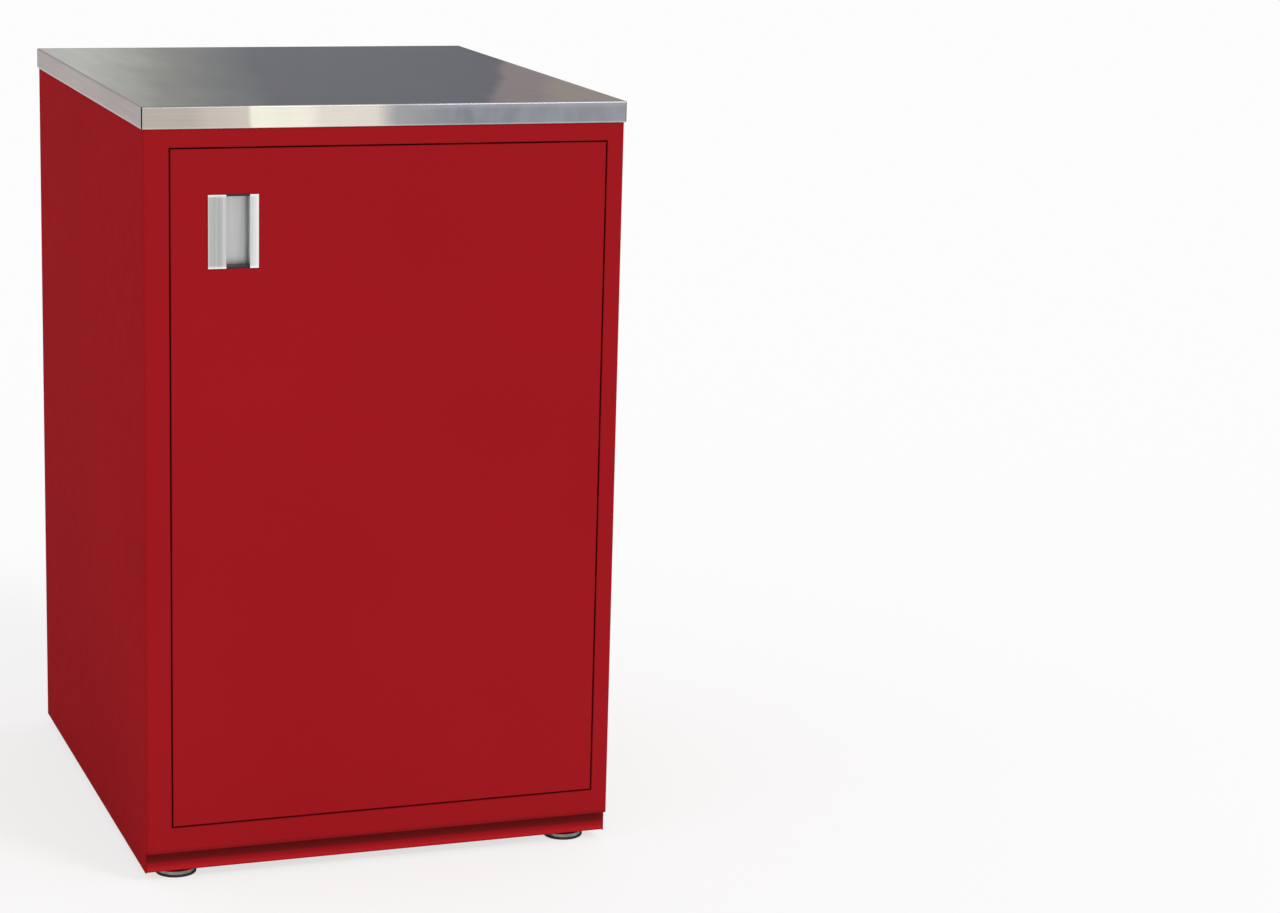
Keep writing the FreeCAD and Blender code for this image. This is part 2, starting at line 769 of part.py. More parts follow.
def pocket_divider():
    """The wall between the shelf space and the door pocket, folded at both ends."""
    wall = S.panel_sheet
    outline = [
        (DIVIDER_FLANGE_END, DIVIDER_FRONT + S.divider_return),
        (DIVIDER_FLANGE_END, DIVIDER_FRONT),
        (DIVIDER_LEFT, DIVIDER_FRONT),
        (DIVIDER_LEFT, INNER_BACK),
        (DIVIDER_LEFT + S.panel_flange, INNER_BACK),
        (DIVIDER_LEFT + S.panel_flange, INNER_BACK - wall),
        (DIVIDER_LEFT + wall, INNER_BACK - wall),
        (DIVIDER_LEFT + wall, DIVIDER_FRONT + wall),
        (DIVIDER_FLANGE_END - wall, DIVIDER_FRONT + wall),
        (DIVIDER_FLANGE_END - wall, DIVIDER_FRONT + S.divider_return),
    ]
    bends = [(S.bend_radius + wall, (1, 2, 3)), (S.bend_radius, (6, 7, 8))]
    web = padded("pocket_divider_web", "z", OPENING_BOTTOM, CEILING, outline, bends)
    flange_x = (DIVIDER_LEFT + wall, DIVIDER_LEFT + S.panel_flange)
    flange_y = (DIVIDER_FRONT + S.divider_flange, INNER_BACK - S.divider_flange)
    low = box("pocket_divider_low", flange_x, flange_y, (OPENING_BOTTOM, OPENING_BOTTOM + wall))
    high = box("pocket_divider_high", flange_x, flange_y, (CEILING - wall, CEILING))
    folded = fuse("pocket_divider_folded", [web, low, high])
    corner = box("pocket_divider_corner", (DIVIDER_LEFT - OVER, DIVIDER_LEFT + S.panel_flange + OVER),
                 (INNER_BACK - wall - S.fold_clearance, INNER_BACK + OVER),
                 (BODY_TOP - S.pan_flange - S.fold_clearance, CEILING + OVER))
    return cut("pocket_divider", folded, [corner])


TRACK_MOUTH = INNER_RIGHT - S.track_depth
CARRIAGE_RIGHT = TRACK_MOUTH - S.carriage_gap
CARRIAGE_LEFT = CARRIAGE_RIGHT - S.carriage_thickness
CARRIER_LEFT = CARRIAGE_LEFT - S.carrier_thickness
SLIDE_FRONT = FRONT + S.track_front_gap
TRACK_HEIGHTS = {
    "lower": DOOR_BOTTOM + S.track_end_distance,
    "upper": DOOR_TOP - S.track_end_distance,
}


def track(label, height):
    """A lipped channel on the right side panel, open towards the pocket."""
    wall = S.panel_sheet
    low = height - S.track_height / 2
    high = height + S.track_height / 2
    outline = [
        (INNER_RIGHT, low), (INNER_RIGHT, high), (TRACK_MOUTH, high),
        (TRACK_MOUTH, high - S.track_lip), (TRACK_MOUTH + wall, high - S.track_lip),
        (TRACK_MOUTH + wall, high - wall), (INNER_RIGHT - wall, high - wall),
        (INNER_RIGHT - wall, low + wall), (TRACK_MOUTH + wall, low + wall),
        (TRACK_MOUTH + wall, low + S.track_lip), (TRACK_MOUTH, low + S.track_lip),
        (TRACK_MOUTH, low),
    ]
    return padded(label, "y", SLIDE_FRONT, SLIDE_FRONT + S.track_length, outline)


def roller_stations():
    """Places along Y of the rollers of one carriage."""
    return [SLIDE_FRONT + S.first_roller, SLIDE_FRONT + S.first_roller + S.roller_spacing]


def carriage(label, height):
    """The plate that carries two rollers, drilled for their axles and the carrier's screws."""
    half = S.track_height / 2
    plate = box(label + "_plate", (CARRIAGE_LEFT, CARRIAGE_RIGHT),
                (SLIDE_FRONT, SLIDE_FRONT + S.carriage_length), (height - half, height + half))
    drills = []
    for number, y in enumerate(roller_stations()):
        drills.append(rod(f"{label}_axle_hole{number}", "x", (CARRIAGE_LEFT - OVER, y, height),
                          S.axle_radius, S.carriage_thickness + OVER * 2))
    for number, z in enumerate(carriage_screw_heights(height)):
        drills.append(rod(f"{label}_screw_hole{number}", "x",
                          (CARRIAGE_LEFT - OVER, carrier_middle(), z), S.screw_radius,
                          S.carriage_thickness + OVER * 2))
    return cut(label, plate, drills)


def carrier_middle():
    """Place along Y of the carrier strip's centre line."""
    return SLIDE_FRONT + S.carrier_width / 2


def carriage_screw_heights(height):
    """Heights of the two screws between the carrier strip and a carriage."""
    return [height - S.track_height / 4, height + S.track_height / 4]


ROLLER_LEFT = TRACK_MOUTH + S.panel_sheet + S.carriage_gap


def track_rollers():
    rollers = []
    radius = S.track_height / 2 - S.panel_sheet - S.roller_clearance
    for level, height in TRACK_HEIGHTS.items():
        for number, y in enumerate(roller_stations()):
            rollers.append(ring(f"{level}_roller{number}", "x", (ROLLER_LEFT, y, height), radius,
                                S.axle_radius + S.running_clearance, S.roller_width))
    return group("track_rollers", rollers)


def roller_axles():
    axles = []
    length = ROLLER_LEFT + S.roller_width - CARRIAGE_LEFT
    for level, height in TRACK_HEIGHTS.items():
        for number, y in enumerate(roller_stations()):
            shank = rod(f"{level}_axle_shank{number}", "x", (CARRIAGE_LEFT, y, height),
                        S.axle_radius, length)
            head = rod(f"{level}_axle_head{number}", "x",
                       (CARRIAGE_LEFT - S.axle_head_height, y, height), S.axle_head_radius,
                       S.axle_head_height)
            axles.append(fuse(f"{level}_axle{number}", [shank, head]))
    return group("roller_axles", axles)


def arm_screw_stations():
    """Places along Y of the two screws of a hinge arm."""
    first = DOOR_BACK + S.arm_door_gap + S.arm_thickness + S.arm_first_screw
    return [first, first + S.arm_screw_spacing]


def carrier_strip():
    """The upright strip that ties the carriages together and carries the hinge arms."""
    half = S.track_height / 2
    strip = box("carrier_strip_bar", (CARRIER_LEFT, CARRIAGE_LEFT),
                (SLIDE_FRONT, SLIDE_FRONT + S.carrier_width),
                (TRACK_HEIGHTS["lower"] - half, TRACK_HEIGHTS["upper"] + half))
    drills = []
    for level, height in TRACK_HEIGHTS.items():
        for number, z in enumerate(carriage_screw_heights(height)):
            drills.append(rod(f"carrier_{level}_hole{number}", "x",
                              (CARRIER_LEFT - OVER, carrier_middle(), z), S.screw_radius,
                              S.carrier_thickness + OVER * 2))
    for level, height in HINGE_HEIGHTS.items():
        for number, y in enumerate(arm_screw_stations()):
            drills.append(rod(f"carrier_{level}_arm_hole{number}", "x",
                              (CARRIER_LEFT - OVER, y, height), S.screw_radius,
                              S.carrier_thickness + OVER * 2))
    return cut("carrier_strip", strip, drills)


def carriage_screws():
    screws = []
    for level, height in TRACK_HEIGHTS.items():
        for number, z in enumerate(carriage_screw_heights(height)):
            name = f"carriage_screw_{level}{number}"
            shank = rod(name + "_shank", "x", (CARRIER_LEFT, carrier_middle(), z),
                        S.screw_radius, S.carrier_thickness + S.carriage_thickness)
            head = rod(name + "_head", "x",
                       (CARRIER_LEFT - S.screw_head_height, carrier_middle(), z),
                       S.screw_head_radius, S.screw_head_height)
            screws.append(fuse(name, [shank, head]))
    return group("carriage_screws", screws)


# ---------------------------------------------------------------- hinges

def hinge_arm(label, height):
    """A gooseneck: plate on the carrier, neck behind the door, barrel on the pivot."""
    half = S.arm_height / 2
    z = (height - half, height + half)
    neck_front = DOOR_BACK + S.arm_door_gap
    neck_back = neck_front + S.arm_thickness
    web = S.arm_thickness / 2
    left_side = PIVOT_X - web
    outline = [
        (left_side, PIVOT_Y), (PIVOT_X + web, PIVOT_Y), (PIVOT_X + web, neck_front),
        (CARRIER_LEFT, neck_front), (CARRIER_LEFT, neck_back + S.arm_plate_depth),
        (CARRIER_LEFT - S.arm_thickness, neck_back + S.arm_plate_depth),
        (CARRIER_LEFT - S.arm_thickness, neck_back), (left_side, neck_back),
    ]
    strap = padded(label + "_strap", "z", z[0], z[1], outline,
                   [(S.bend_radius, (2, 6)), (S.arm_thickness, (3, 7))])
    barrel = rod(label + "_barrel", "z", (PIVOT_X, PIVOT_Y, z[0]), S.knuckle_radius, S.arm_height)
    joined = fuse(label + "_joined", [strap, barrel])
    bore = rod(label + "_bore", "z", (PIVOT_X, PIVOT_Y, z[0] - OVER),
               S.pin_radius + S.running_clearance, S.arm_height + OVER * 2)
    drills = [rod(f"{label}_screw_hole{number}", "x",
                  (CARRIER_LEFT - S.arm_thickness - OVER, y, height), S.screw_radius,
                  S.arm_thickness + OVER * 2)
              for number, y in enumerate(arm_screw_stations())]
    return cut(label, joined, [bore] + drills)


def hinge_arm_screws():
    screws = []
    for level, height in HINGE_HEIGHTS.items():
        for number, y in enumerate(arm_screw_stations()):
            name = f"arm_screw_{level}{number}"
            seat = CARRIER_LEFT - S.arm_thickness
            shank = rod(name + "_shank", "x", (seat, y, height), S.screw_radius,
                        S.arm_thickness + S.carrier_thickness)
            head = rod(name + "_head", "x", (seat - S.screw_head_height, y, height),
                       S.screw_head_radius, S.screw_head_height)
            screws.append(fuse(name, [shank, head]))
    return group("hinge_arm_screws", screws)


def knuckle_ranges(height):
    """Height ranges of the two knuckles of a leaf, above and below the arm."""
    near = S.arm_height / 2 + S.knuckle_gap
    far = near + S.knuckle_height
    return [(height - far, height - near), (height + near, height + far)]


def hinge_leaf(label, height):
    """A leaf welded inside the door skin, with a knuckle above and below the arm."""
    y = (FRONT + S.door_skin, FRONT + S.door_skin + S.leaf_thickness)
    tail = PIVOT_X - S.leaf_width
    ranges = knuckle_ranges(height)
    pieces = [box(label + "_plate", (tail, NOTCH_LEFT), y,
                  (ranges[0][0], ranges[1][1]))]
    for number, (low, high) in enumerate(ranges):
        pieces.append(box(f"{label}_tongue{number}", (tail, PIVOT_X), y, (low, high)))
        pieces.append(rod(f"{label}_knuckle{number}", "z", (PIVOT_X, PIVOT_Y, low),
                          S.knuckle_radius, S.knuckle_height))
    bottom = ranges[0][0] - OVER
    bore = rod(label + "_bore", "z", (PIVOT_X, PIVOT_Y, bottom),
               S.pin_radius + S.running_clearance, ranges[1][1] - bottom + OVER)
    return cut(label, fuse(label + "_joined", pieces), [bore])


def hinge_pins():
    pins = []
    for level, height in HINGE_HEIGHTS.items():
        low = knuckle_ranges(height)[0][0]
        high = knuckle_ranges(height)[1][1]
        shank = rod(f"{level}_pin_shank", "z", (PIVOT_X, PIVOT_Y, low), S.pin_radius, high - low)
        head = rod(f"{level}_pin_head", "z", (PIVOT_X, PIVOT_Y, high), S.pin_head_radius,
                   S.pin_head_height)
        pins.append(fuse(f"{level}_pin", [shank, head]))
    return group("hinge_pins", pins)


# ---------------------------------------------------------------- door

def notch(label, height):
    """The space at the door's inner right corner that a hinge arm swings through."""
    half = S.arm_height / 2 + S.knuckle_gap + S.knuckle_height + S.notch_end_clearance
    return box(label, (NOTCH_LEFT, DOOR_RIGHT + OVER),
               (FRONT + S.door_skin, DOOR_BACK + OVER), (height - half, height + half))


PULL_LEFT = DOOR_LEFT + S.pull_left
PULL_TOP = DOOR_TOP - S.pull_top
PULL_BOTTOM = PULL_TOP - S.pull_height
PULL_FACE = FRONT - S.pull_proud
PULL_BACK = DOOR_BACK + S.pull_back_proud
RECESS_LEFT = PULL_LEFT + S.pull_flange
RECESS_RIGHT = RECESS_LEFT + S.pull_recess
CUP_LEFT = RECESS_LEFT + S.pull_lead - S.pull_wall
CUP_RIGHT = RECESS_RIGHT + S.pull_undercut + S.pull_wall
PULL_RIGHT = RECESS_RIGHT + S.pull_lip
CUTOUT_LEFT = RECESS_LEFT - S.pull_wall - S.cutout_gap


def pull_outline():
    """Plan of the pull: flange, sloping wall, cup floor, undercut wall, lip and its grip."""
    floor = PULL_BACK - S.pull_wall
    rear_of_face = FRONT
    return [
        (PULL_LEFT, PULL_FACE), (RECESS_LEFT, PULL_FACE), (CUP_LEFT + S.pull_wall, floor),
        (CUP_RIGHT - S.pull_wall, floor), (CUP_RIGHT - S.pull_wall, rear_of_face),
        (RECESS_RIGHT + S.pull_wall, rear_of_face),
        (RECESS_RIGHT + S.pull_wall, rear_of_face + S.pull_grip),
        (RECESS_RIGHT, rear_of_face + S.pull_grip), (RECESS_RIGHT, PULL_FACE),
        (PULL_RIGHT, PULL_FACE), (PULL_RIGHT, rear_of_face), (CUP_RIGHT, rear_of_face),
        (CUP_RIGHT, PULL_BACK), (CUP_LEFT, PULL_BACK), (RECESS_LEFT - S.pull_wall, rear_of_face),
        (PULL_LEFT, rear_of_face),
    ]


def door_pull():
    """An extruded flush pull with shallow grooves along its flange."""
    profile = padded("door_pull_profile", "z", PULL_BOTTOM, PULL_TOP, pull_outline(),
                     [(S.pull_edge_round, (0, 1, 7, 8, 9)), (S.pull_wall, (2, 3))])
    grooves = []
    for number in range(PULL_GROOVES):
        start = PULL_LEFT + S.pull_first_groove + S.pull_groove_pitch * number
        grooves.append(box(f"door_pull_groove{number}", (start, start + S.pull_groove_width),
                           (PULL_FACE - OVER, PULL_FACE + S.pull_groove_depth),
                           (PULL_BOTTOM - OVER, PULL_TOP + OVER)))
    return cut("door_pull", profile, grooves)


def pull_end_caps():
    """Plates that close the two ends of the pull's cup."""
    floor = PULL_BACK - S.pull_wall
    outline = [
        (RECESS_LEFT, FRONT), (CUP_LEFT + S.pull_wall + S.pull_wall, floor),
        (CUP_RIGHT - S.pull_wall * 2, floor), (CUP_RIGHT - S.pull_wall * 2, FRONT + S.pull_grip),
        (RECESS_RIGHT, FRONT + S.pull_grip), (RECESS_RIGHT, FRONT),
    ]
    caps = []
    for name, low in (("low", PULL_BOTTOM), ("high", PULL_TOP - S.end_cap_thickness)):
        blank = padded(f"pull_cap_{name}_blank", "z", low, low + S.end_cap_thickness, outline)
        caps.append(cut(f"pull_cap_{name}", blank, [doc.getObject("door_pull_profile")]))
    return group("pull_end_caps", caps)


def stud_heights():
    return [PULL_BOTTOM + S.stud_end_distance, PULL_TOP - S.stud_end_distance]


def pull_studs():
    """Threaded studs behind the pull's flange, each with its nut inside the skin."""
    studs = []
    x = PULL_LEFT + S.stud_inset
    for number, z in enumerate(stud_heights()):
        shank = rod(f"pull_stud_shank{number}", "y", (x, FRONT, z), S.stud_radius,
                    S.door_skin + S.stud_nut_height * 2)
        nut = hexagon(f"pull_stud_nut{number}", "y", (x, FRONT + S.door_skin, z),
                      S.stud_nut_width, S.stud_nut_height)
        studs.append(fuse(f"pull_stud{number}", [shank, nut]))
    return group("pull_studs", studs)


def pull_cutout(label, y):
    """The window that a door sheet leaves for the pull's cup."""
    return box(label, (CUTOUT_LEFT, CUP_RIGHT + S.cutout_gap), y,
               (PULL_BOTTOM - S.cutout_gap, PULL_TOP + S.cutout_gap))


def door_skin():
    """The outer pan: face plate with edges folded back all round."""
    def front_or_upright(edge):
        points = [vertex.Point for vertex in edge.Vertexes]
        upright = abs(points[0].z - points[1].z) > 1
        at_front = max(point.y for point in points) < FRONT.value + TOLERANCE
        return at_front and (upright or abs(points[0].x - points[1].x) > 1)

    block = rounded_block("door_skin_block", (DOOR_LEFT, DOOR_RIGHT), (FRONT, DOOR_BACK),
                          (DOOR_BOTTOM, DOOR_TOP), S.door_bend, front_or_upright)
    wall = S.door_skin
    hollow = box("door_skin_hollow", (DOOR_LEFT + wall, DOOR_RIGHT - wall),
                 (FRONT + wall, DOOR_BACK + OVER), (DOOR_BOTTOM + wall, DOOR_TOP - wall))
    window = pull_cutout("door_skin_window", (FRONT - OVER, FRONT + wall + OVER))
    notches = [notch(f"door_skin_notch_{level}", height)
               for level, height in HINGE_HEIGHTS.items()]
    stud_holes = [rod(f"door_skin_stud_hole{number}", "y",
                      (PULL_LEFT + S.stud_inset, FRONT - OVER, z), S.stud_radius, wall + OVER * 2)
                  for number, z in enumerate(stud_heights())]
    return cut("door_skin", block, [hollow, window] + notches + stud_holes)


def door_inner_pan():
    """The inner sheet, set inside the skin's folded edges."""
    wall = S.light_sheet
    x = (DOOR_LEFT + S.door_skin, DOOR_RIGHT - S.door_skin)
    z = (DOOR_BOTTOM + S.door_skin, DOOR_TOP - S.door_skin)
    block = box("door_inner_pan_block", x, (DOOR_BACK - S.door_pan_flange, DOOR_BACK), z)
    hollow = box("door_inner_pan_hollow", (x[0] + wall, x[1] - wall),
                 (DOOR_BACK - S.door_pan_flange - OVER, DOOR_BACK - wall),
                 (z[0] + wall, z[1] - wall))
    window = pull_cutout("door_inner_pan_window", (DOOR_BACK - wall - OVER, DOOR_BACK + OVER))
    notches = [notch(f"door_inner_pan_notch_{level}", height)
               for level, height in HINGE_HEIGHTS.items()]
    return cut("door_inner_pan", block, [hollow, window] + notches)


def door_stiffener():
    """A channel between the door's two sheets, upright in its middle."""
    wall = S.light_sheet
    middle = (DOOR_LEFT + DOOR_RIGHT) / 2
    half = S.stiffener_width / 2
    near = FRONT + S.door_skin
    far = DOOR_BACK - wall
    outline = [
        (middle - half, far), (middle - half, near), (middle + half, near), (middle + half, far),
        (middle + half - wall, far), (middle + half - wall, near + wall),
        (middle - half + wall, near + wall), (middle - half + wall, far),
    ]
    low = DOOR_BOTTOM + S.stiffener_end_gap
    high = DOOR_TOP - S.stiffener_end_gap
    return padded("door_stiffener", "z", low, high, outline,
                  [(S.bend_radius + wall, (1, 2)), (S.bend_radius, (5, 6))])


# ---------------------------------------------------------------- catch and bumper

def catch_screw_offsets():
    """Places of the catch screws along X, from the magnet."""
    reach = S.magnet_radius + S.housing_wall + S.housing_ear / 2
    return [-reach, reach]


def catch_housing():
    """A block inside the top rail that holds the magnet and has a screw ear at each end."""
    x, y = magnet_place()
    half = S.magnet_radius + S.housing_wall
    floor = OPENING_TOP + S.panel_sheet
    block = box("catch_housing_block", (x - half, x + half), (y - half, y + half),
                (floor, floor + S.magnet_length + S.housing_wall))
    ears = box("catch_housing_ears", (x - half - S.housing_ear, x + half + S.housing_ear),
               (y - half, y + half), (floor, floor + S.housing_wall))
    joined = fuse("catch_housing_joined", [block, ears])
    drills = [rod("catch_housing_bore", "z", (x, y, floor - OVER), S.magnet_radius,
                  S.magnet_length - S.panel_sheet + OVER)]
    for number, offset in enumerate(catch_screw_offsets()):
        drills.append(rod(f"catch_housing_hole{number}", "z", (x + offset, y, floor - OVER),
                          S.catch_screw_radius, S.housing_wall + OVER * 2))
    return cut("catch_housing", joined, drills)


def catch_magnet():
    x, y = magnet_place()
    return rod("catch_magnet", "z", (x, y, OPENING_TOP), S.magnet_radius, S.magnet_length)


def catch_screws():
    """Screws driven down through the ears into the rail's lower flange."""
    x, y = magnet_place()
    seat = OPENING_TOP + S.panel_sheet + S.housing_wall
    screws = []
    for number, offset in enumerate(catch_screw_offsets()):
        shank = rod(f"catch_screw_shank{number}", "z", (x + offset, y, OPENING_TOP),
                    S.catch_screw_radius, seat - OPENING_TOP)
        head = rod(f"catch_screw_head{number}", "z", (x + offset, y, seat),
                   S.catch_screw_radius * 2, S.catch_screw_radius)
        screws.append(fuse(f"catch_screw{number}", [shank, head]))
    return group("catch_screws", screws)


BUMPER_X = OPENING_LEFT + S.bumper_side_gap + S.bumper_radius
BUMPER_Z = OPENING_BOTTOM + S.bumper_floor_gap + S.bumper_radius
BUMPER_FRONT = DOOR_BACK + S.bumper_door_gap
BRACKET_FRONT = BUMPER_FRONT + S.bumper_thickness


def bumper_bracket():
    """A small angle on the hidden side of the left jamb, its face behind the opening."""
    wall = S.panel_sheet
    z = (OPENING_BOTTOM, BUMPER_Z + S.bumper_radius + S.bumper_floor_gap)
    jamb_back = OPENING_LEFT - wall
    reach = BUMPER_X + S.bumper_radius + S.bumper_bracket_margin
    face = box("bumper_bracket_face", (jamb_back - wall, reach),
               (BRACKET_FRONT, BRACKET_FRONT + wall), z)
    leg = box("bumper_bracket_leg", (jamb_back - wall, jamb_back),
              (FRONT + S.bumper_leg_setback, BRACKET_FRONT), z)
    joined = fuse("bumper_bracket_joined", [face, leg])
    hole = rod("bumper_bracket_hole", "y", (BUMPER_X, BRACKET_FRONT - OVER, BUMPER_Z),
               S.bumper_screw_radius, wall + OVER * 2)
    return cut("bumper_bracket", joined, [hole])


def bumper_seat():
    """Depth of the bumper's screw head below its face."""
    return S.bumper_thickness / 2


def door_bumper():
    disc = rod("door_bumper_disc", "y", (BUMPER_X, BUMPER_FRONT, BUMPER_Z), S.bumper_radius,
               S.bumper_thickness)
    hole = rod("door_bumper_hole", "y", (BUMPER_X, BUMPER_FRONT - OVER, BUMPER_Z),
               S.bumper_screw_radius, S.bumper_thickness + OVER * 2)
    counterbore = rod("door_bumper_counterbore", "y", (BUMPER_X, BUMPER_FRONT - OVER, BUMPER_Z),
                      S.bumper_head_radius, bumper_seat() + OVER)
    return cut("door_bumper", disc, [hole, counterbore])


def bumper_screw():
    seat = BUMPER_FRONT + bumper_seat()
    shank = rod("bumper_screw_shank", "y", (BUMPER_X, seat, BUMPER_Z), S.bumper_screw_radius,
                S.bumper_thickness - bumper_seat() + S.panel_sheet)
    head = rod("bumper_screw_head", "y", (BUMPER_X, seat - S.bumper_head_height, BUMPER_Z),
               S.bumper_head_radius - S.running_clearance, S.bumper_head_height)
    return fuse("bumper_screw", [shank, head])


# ---------------------------------------------------------------- shelf

SHELF_LEFT = INNER_LEFT + S.shelf_side_gap
SHELF_RIGHT = DIVIDER_LEFT - S.shelf_side_gap
SHELF_FRONT = FRONT + S.shelf_setback
SHELF_BACK = INNER_BACK - S.shelf_side_gap


def shelf_pan():
    """The shelf: lip and return at the front, flanges on the other sides."""
    wall = S.light_sheet
    top = S.shelf_top
    outline = [
        (SHELF_FRONT + S.shelf_lip_return, top - S.shelf_lip),
        (SHELF_FRONT, top - S.shelf_lip), (SHELF_FRONT, top), (SHELF_BACK, top),
        (SHELF_BACK, top - S.shelf_flange), (SHELF_BACK - wall, top - S.shelf_flange),
        (SHELF_BACK - wall, top - wall), (SHELF_FRONT + wall, top - wall),
        (SHELF_FRONT + wall, top - S.shelf_lip + wall),
        (SHELF_FRONT + S.shelf_lip_return, top - S.shelf_lip + wall),
    ]
    bends = [(S.bend_radius + wall, (1, 2, 3)), (S.bend_radius, (6, 7, 8))]
    plate = padded("shelf_pan_plate", "x", SHELF_LEFT, SHELF_RIGHT, outline, bends)
    z = (top - S.shelf_flange, top - wall)
    y = (SHELF_FRONT + S.shelf_lip_return, SHELF_BACK - S.shelf_lip_return)
    left = box("shelf_pan_left", (SHELF_LEFT, SHELF_LEFT + wall), y, z)
    right = box("shelf_pan_right", (SHELF_RIGHT - wall, SHELF_RIGHT), y, z)
    return fuse("shelf_pan", [plate, left, right])


def shelf_stiffener():
    """A channel under the shelf, from side to side, open upwards against the plate."""
    wall = S.light_sheet
    middle = (SHELF_FRONT + SHELF_BACK) / 2
    half = S.shelf_stiffener_width / 2
    high = S.shelf_top - wall
    low = high - S.shelf_stiffener_depth
    outline = [
        (middle - half, high), (middle - half, low), (middle + half, low), (middle + half, high),
        (middle + half - wall, high), (middle + half - wall, low + wall),
        (middle - half + wall, low + wall), (middle - half + wall, high),
    ]
    return padded("shelf_stiffener", "x", SHELF_LEFT + S.shelf_stiffener_end_gap,
                  SHELF_RIGHT - S.shelf_stiffener_end_gap, outline,
                  [(S.bend_radius + wall, (1, 2)), (S.bend_radius, (5, 6))])


def shelf_brackets():
    """Angles welded to the wall and the divider, each with a ledge under a shelf flange."""
    brackets = []
    seat = S.shelf_top - S.shelf_flange
    stations = [SHELF_FRONT + S.bracket_end_distance, SHELF_BACK - S.bracket_end_distance]
    for side, wall_face in ((1, INNER_LEFT), (-1, DIVIDER_LEFT)):
        for number, y in enumerate(stations):
            name = f"shelf_bracket_{side + 1}_{number}"
            along = (y - S.bracket_length / 2, y + S.bracket_length / 2)
            leg_x = ordered(wall_face, wall_face + S.bracket_thickness * side)
            ledge_x = ordered(wall_face, wall_face + S.bracket_reach * side)
            leg = box(name + "_leg", leg_x, along, (seat - S.bracket_leg, seat))
            ledge = box(name + "_ledge", ledge_x, along, (seat - S.bracket_thickness, seat))
            brackets.append(fuse(name, [leg, ledge]))
    return group("shelf_brackets", brackets)


# ---------------------------------------------------------------- assembly

def build_feet():
    """Pad, cup and stem of each levelling foot."""
    pieces = []
    for name, (x, y, _, _) in foot_places().items():
        pieces += [foot_pad(name, x, y), foot_cup(name, x, y), foot_stem(name, x, y)]
    return pieces


def build_all():
    """Every sub-part of the locker."""
    left_blank = side_panel("left_side_blank", -1, LEFT, OPENING_LEFT)
    right_blank = side_panel("right_side_blank", 1, RIGHT, OPENING_RIGHT)
    pieces = [
        pierced_for_rivets("left_side_panel", left_blank, -1),
        pierced_for_rivets("right_side_panel", right_blank, 1),
        top_rail(), bottom_rail(), top_panel(), floor_panel(), back_panel(), body_rivets(),
        toe_plate(), rear_base_rail(), foot_plates(), foot_weld_nuts(),
        worktop_skin(), worktop_core(), worktop_screws(),
        pocket_divider(), shelf_brackets(), shelf_pan(), shelf_stiffener(),
        track_rollers(), roller_axles(), carrier_strip(), carriage_screws(), hinge_arm_screws(),
        door_skin(), door_inner_pan(), door_stiffener(), door_pull(), pull_end_caps(),
        pull_studs(), hinge_pins(),
        catch_housing(), catch_magnet(), catch_screws(),
        bumper_bracket(), door_bumper(), bumper_screw(),
    ]
    for level, height in TRACK_HEIGHTS.items():
        pieces.append(track(f"{level}_track", height))
        pieces.append(carriage(f"{level}_carriage", height))
    for level, height in HINGE_HEIGHTS.items():
        pieces.append(hinge_arm(f"{level}_hinge_arm", height))
        pieces.append(hinge_leaf(f"{level}_hinge_leaf", height))
    return pieces + build_feet()


def check(objects, pieces):
    """Stop before anything is written if a feature or a sub-part is bad."""
    for obj in objects:
        if "Invalid" in obj.State or "Error" in obj.State:
            raise RuntimeError(f"{obj.Label}: {obj.State}")
    for piece in pieces:
        if piece.Shape.isNull() or not piece.Shape.isValid() or not piece.Shape.Solids:
            raise RuntimeError(f"{piece.Label}: bad shape")


parts = build_all()
doc.recompute()
check(doc.Objects, parts)
os.makedirs("parts", exist_ok=True)
for piece in parts:
    piece.Shape.exportStep(f"parts/{piece.Label}.step")
print(len(parts), "sub-parts written")
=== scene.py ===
"""Looks of the tool chest side locker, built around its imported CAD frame. Metres, +Z up."""

import json
import math

import bmesh
import bpy
from mathutils import Matrix, Vector


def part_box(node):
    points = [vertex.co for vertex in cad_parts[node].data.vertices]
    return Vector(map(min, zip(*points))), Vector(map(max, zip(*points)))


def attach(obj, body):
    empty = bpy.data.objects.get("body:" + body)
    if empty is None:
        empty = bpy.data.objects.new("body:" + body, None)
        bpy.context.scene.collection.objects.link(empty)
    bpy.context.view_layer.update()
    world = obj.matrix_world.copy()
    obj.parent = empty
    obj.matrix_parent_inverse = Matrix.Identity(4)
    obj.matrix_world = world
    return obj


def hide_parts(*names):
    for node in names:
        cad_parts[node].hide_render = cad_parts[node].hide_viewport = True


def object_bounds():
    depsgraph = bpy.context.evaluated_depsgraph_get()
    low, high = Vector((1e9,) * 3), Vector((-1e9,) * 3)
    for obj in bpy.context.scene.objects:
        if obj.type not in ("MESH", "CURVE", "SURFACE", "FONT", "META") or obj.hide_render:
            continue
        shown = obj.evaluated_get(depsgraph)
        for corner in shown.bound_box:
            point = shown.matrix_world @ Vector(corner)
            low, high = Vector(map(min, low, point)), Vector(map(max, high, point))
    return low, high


MM = 0.001

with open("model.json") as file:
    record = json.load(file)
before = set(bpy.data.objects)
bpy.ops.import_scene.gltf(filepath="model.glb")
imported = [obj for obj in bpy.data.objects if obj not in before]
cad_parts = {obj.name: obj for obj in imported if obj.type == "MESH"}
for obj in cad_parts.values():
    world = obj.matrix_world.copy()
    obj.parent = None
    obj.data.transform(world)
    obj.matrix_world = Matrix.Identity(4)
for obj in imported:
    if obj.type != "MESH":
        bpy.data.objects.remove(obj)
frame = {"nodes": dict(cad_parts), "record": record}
CAD_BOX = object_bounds()
LOW, HIGH = Vector(CAD_BOX[0]), Vector(CAD_BOX[1])

# ---------------------------------------------------------------- camera

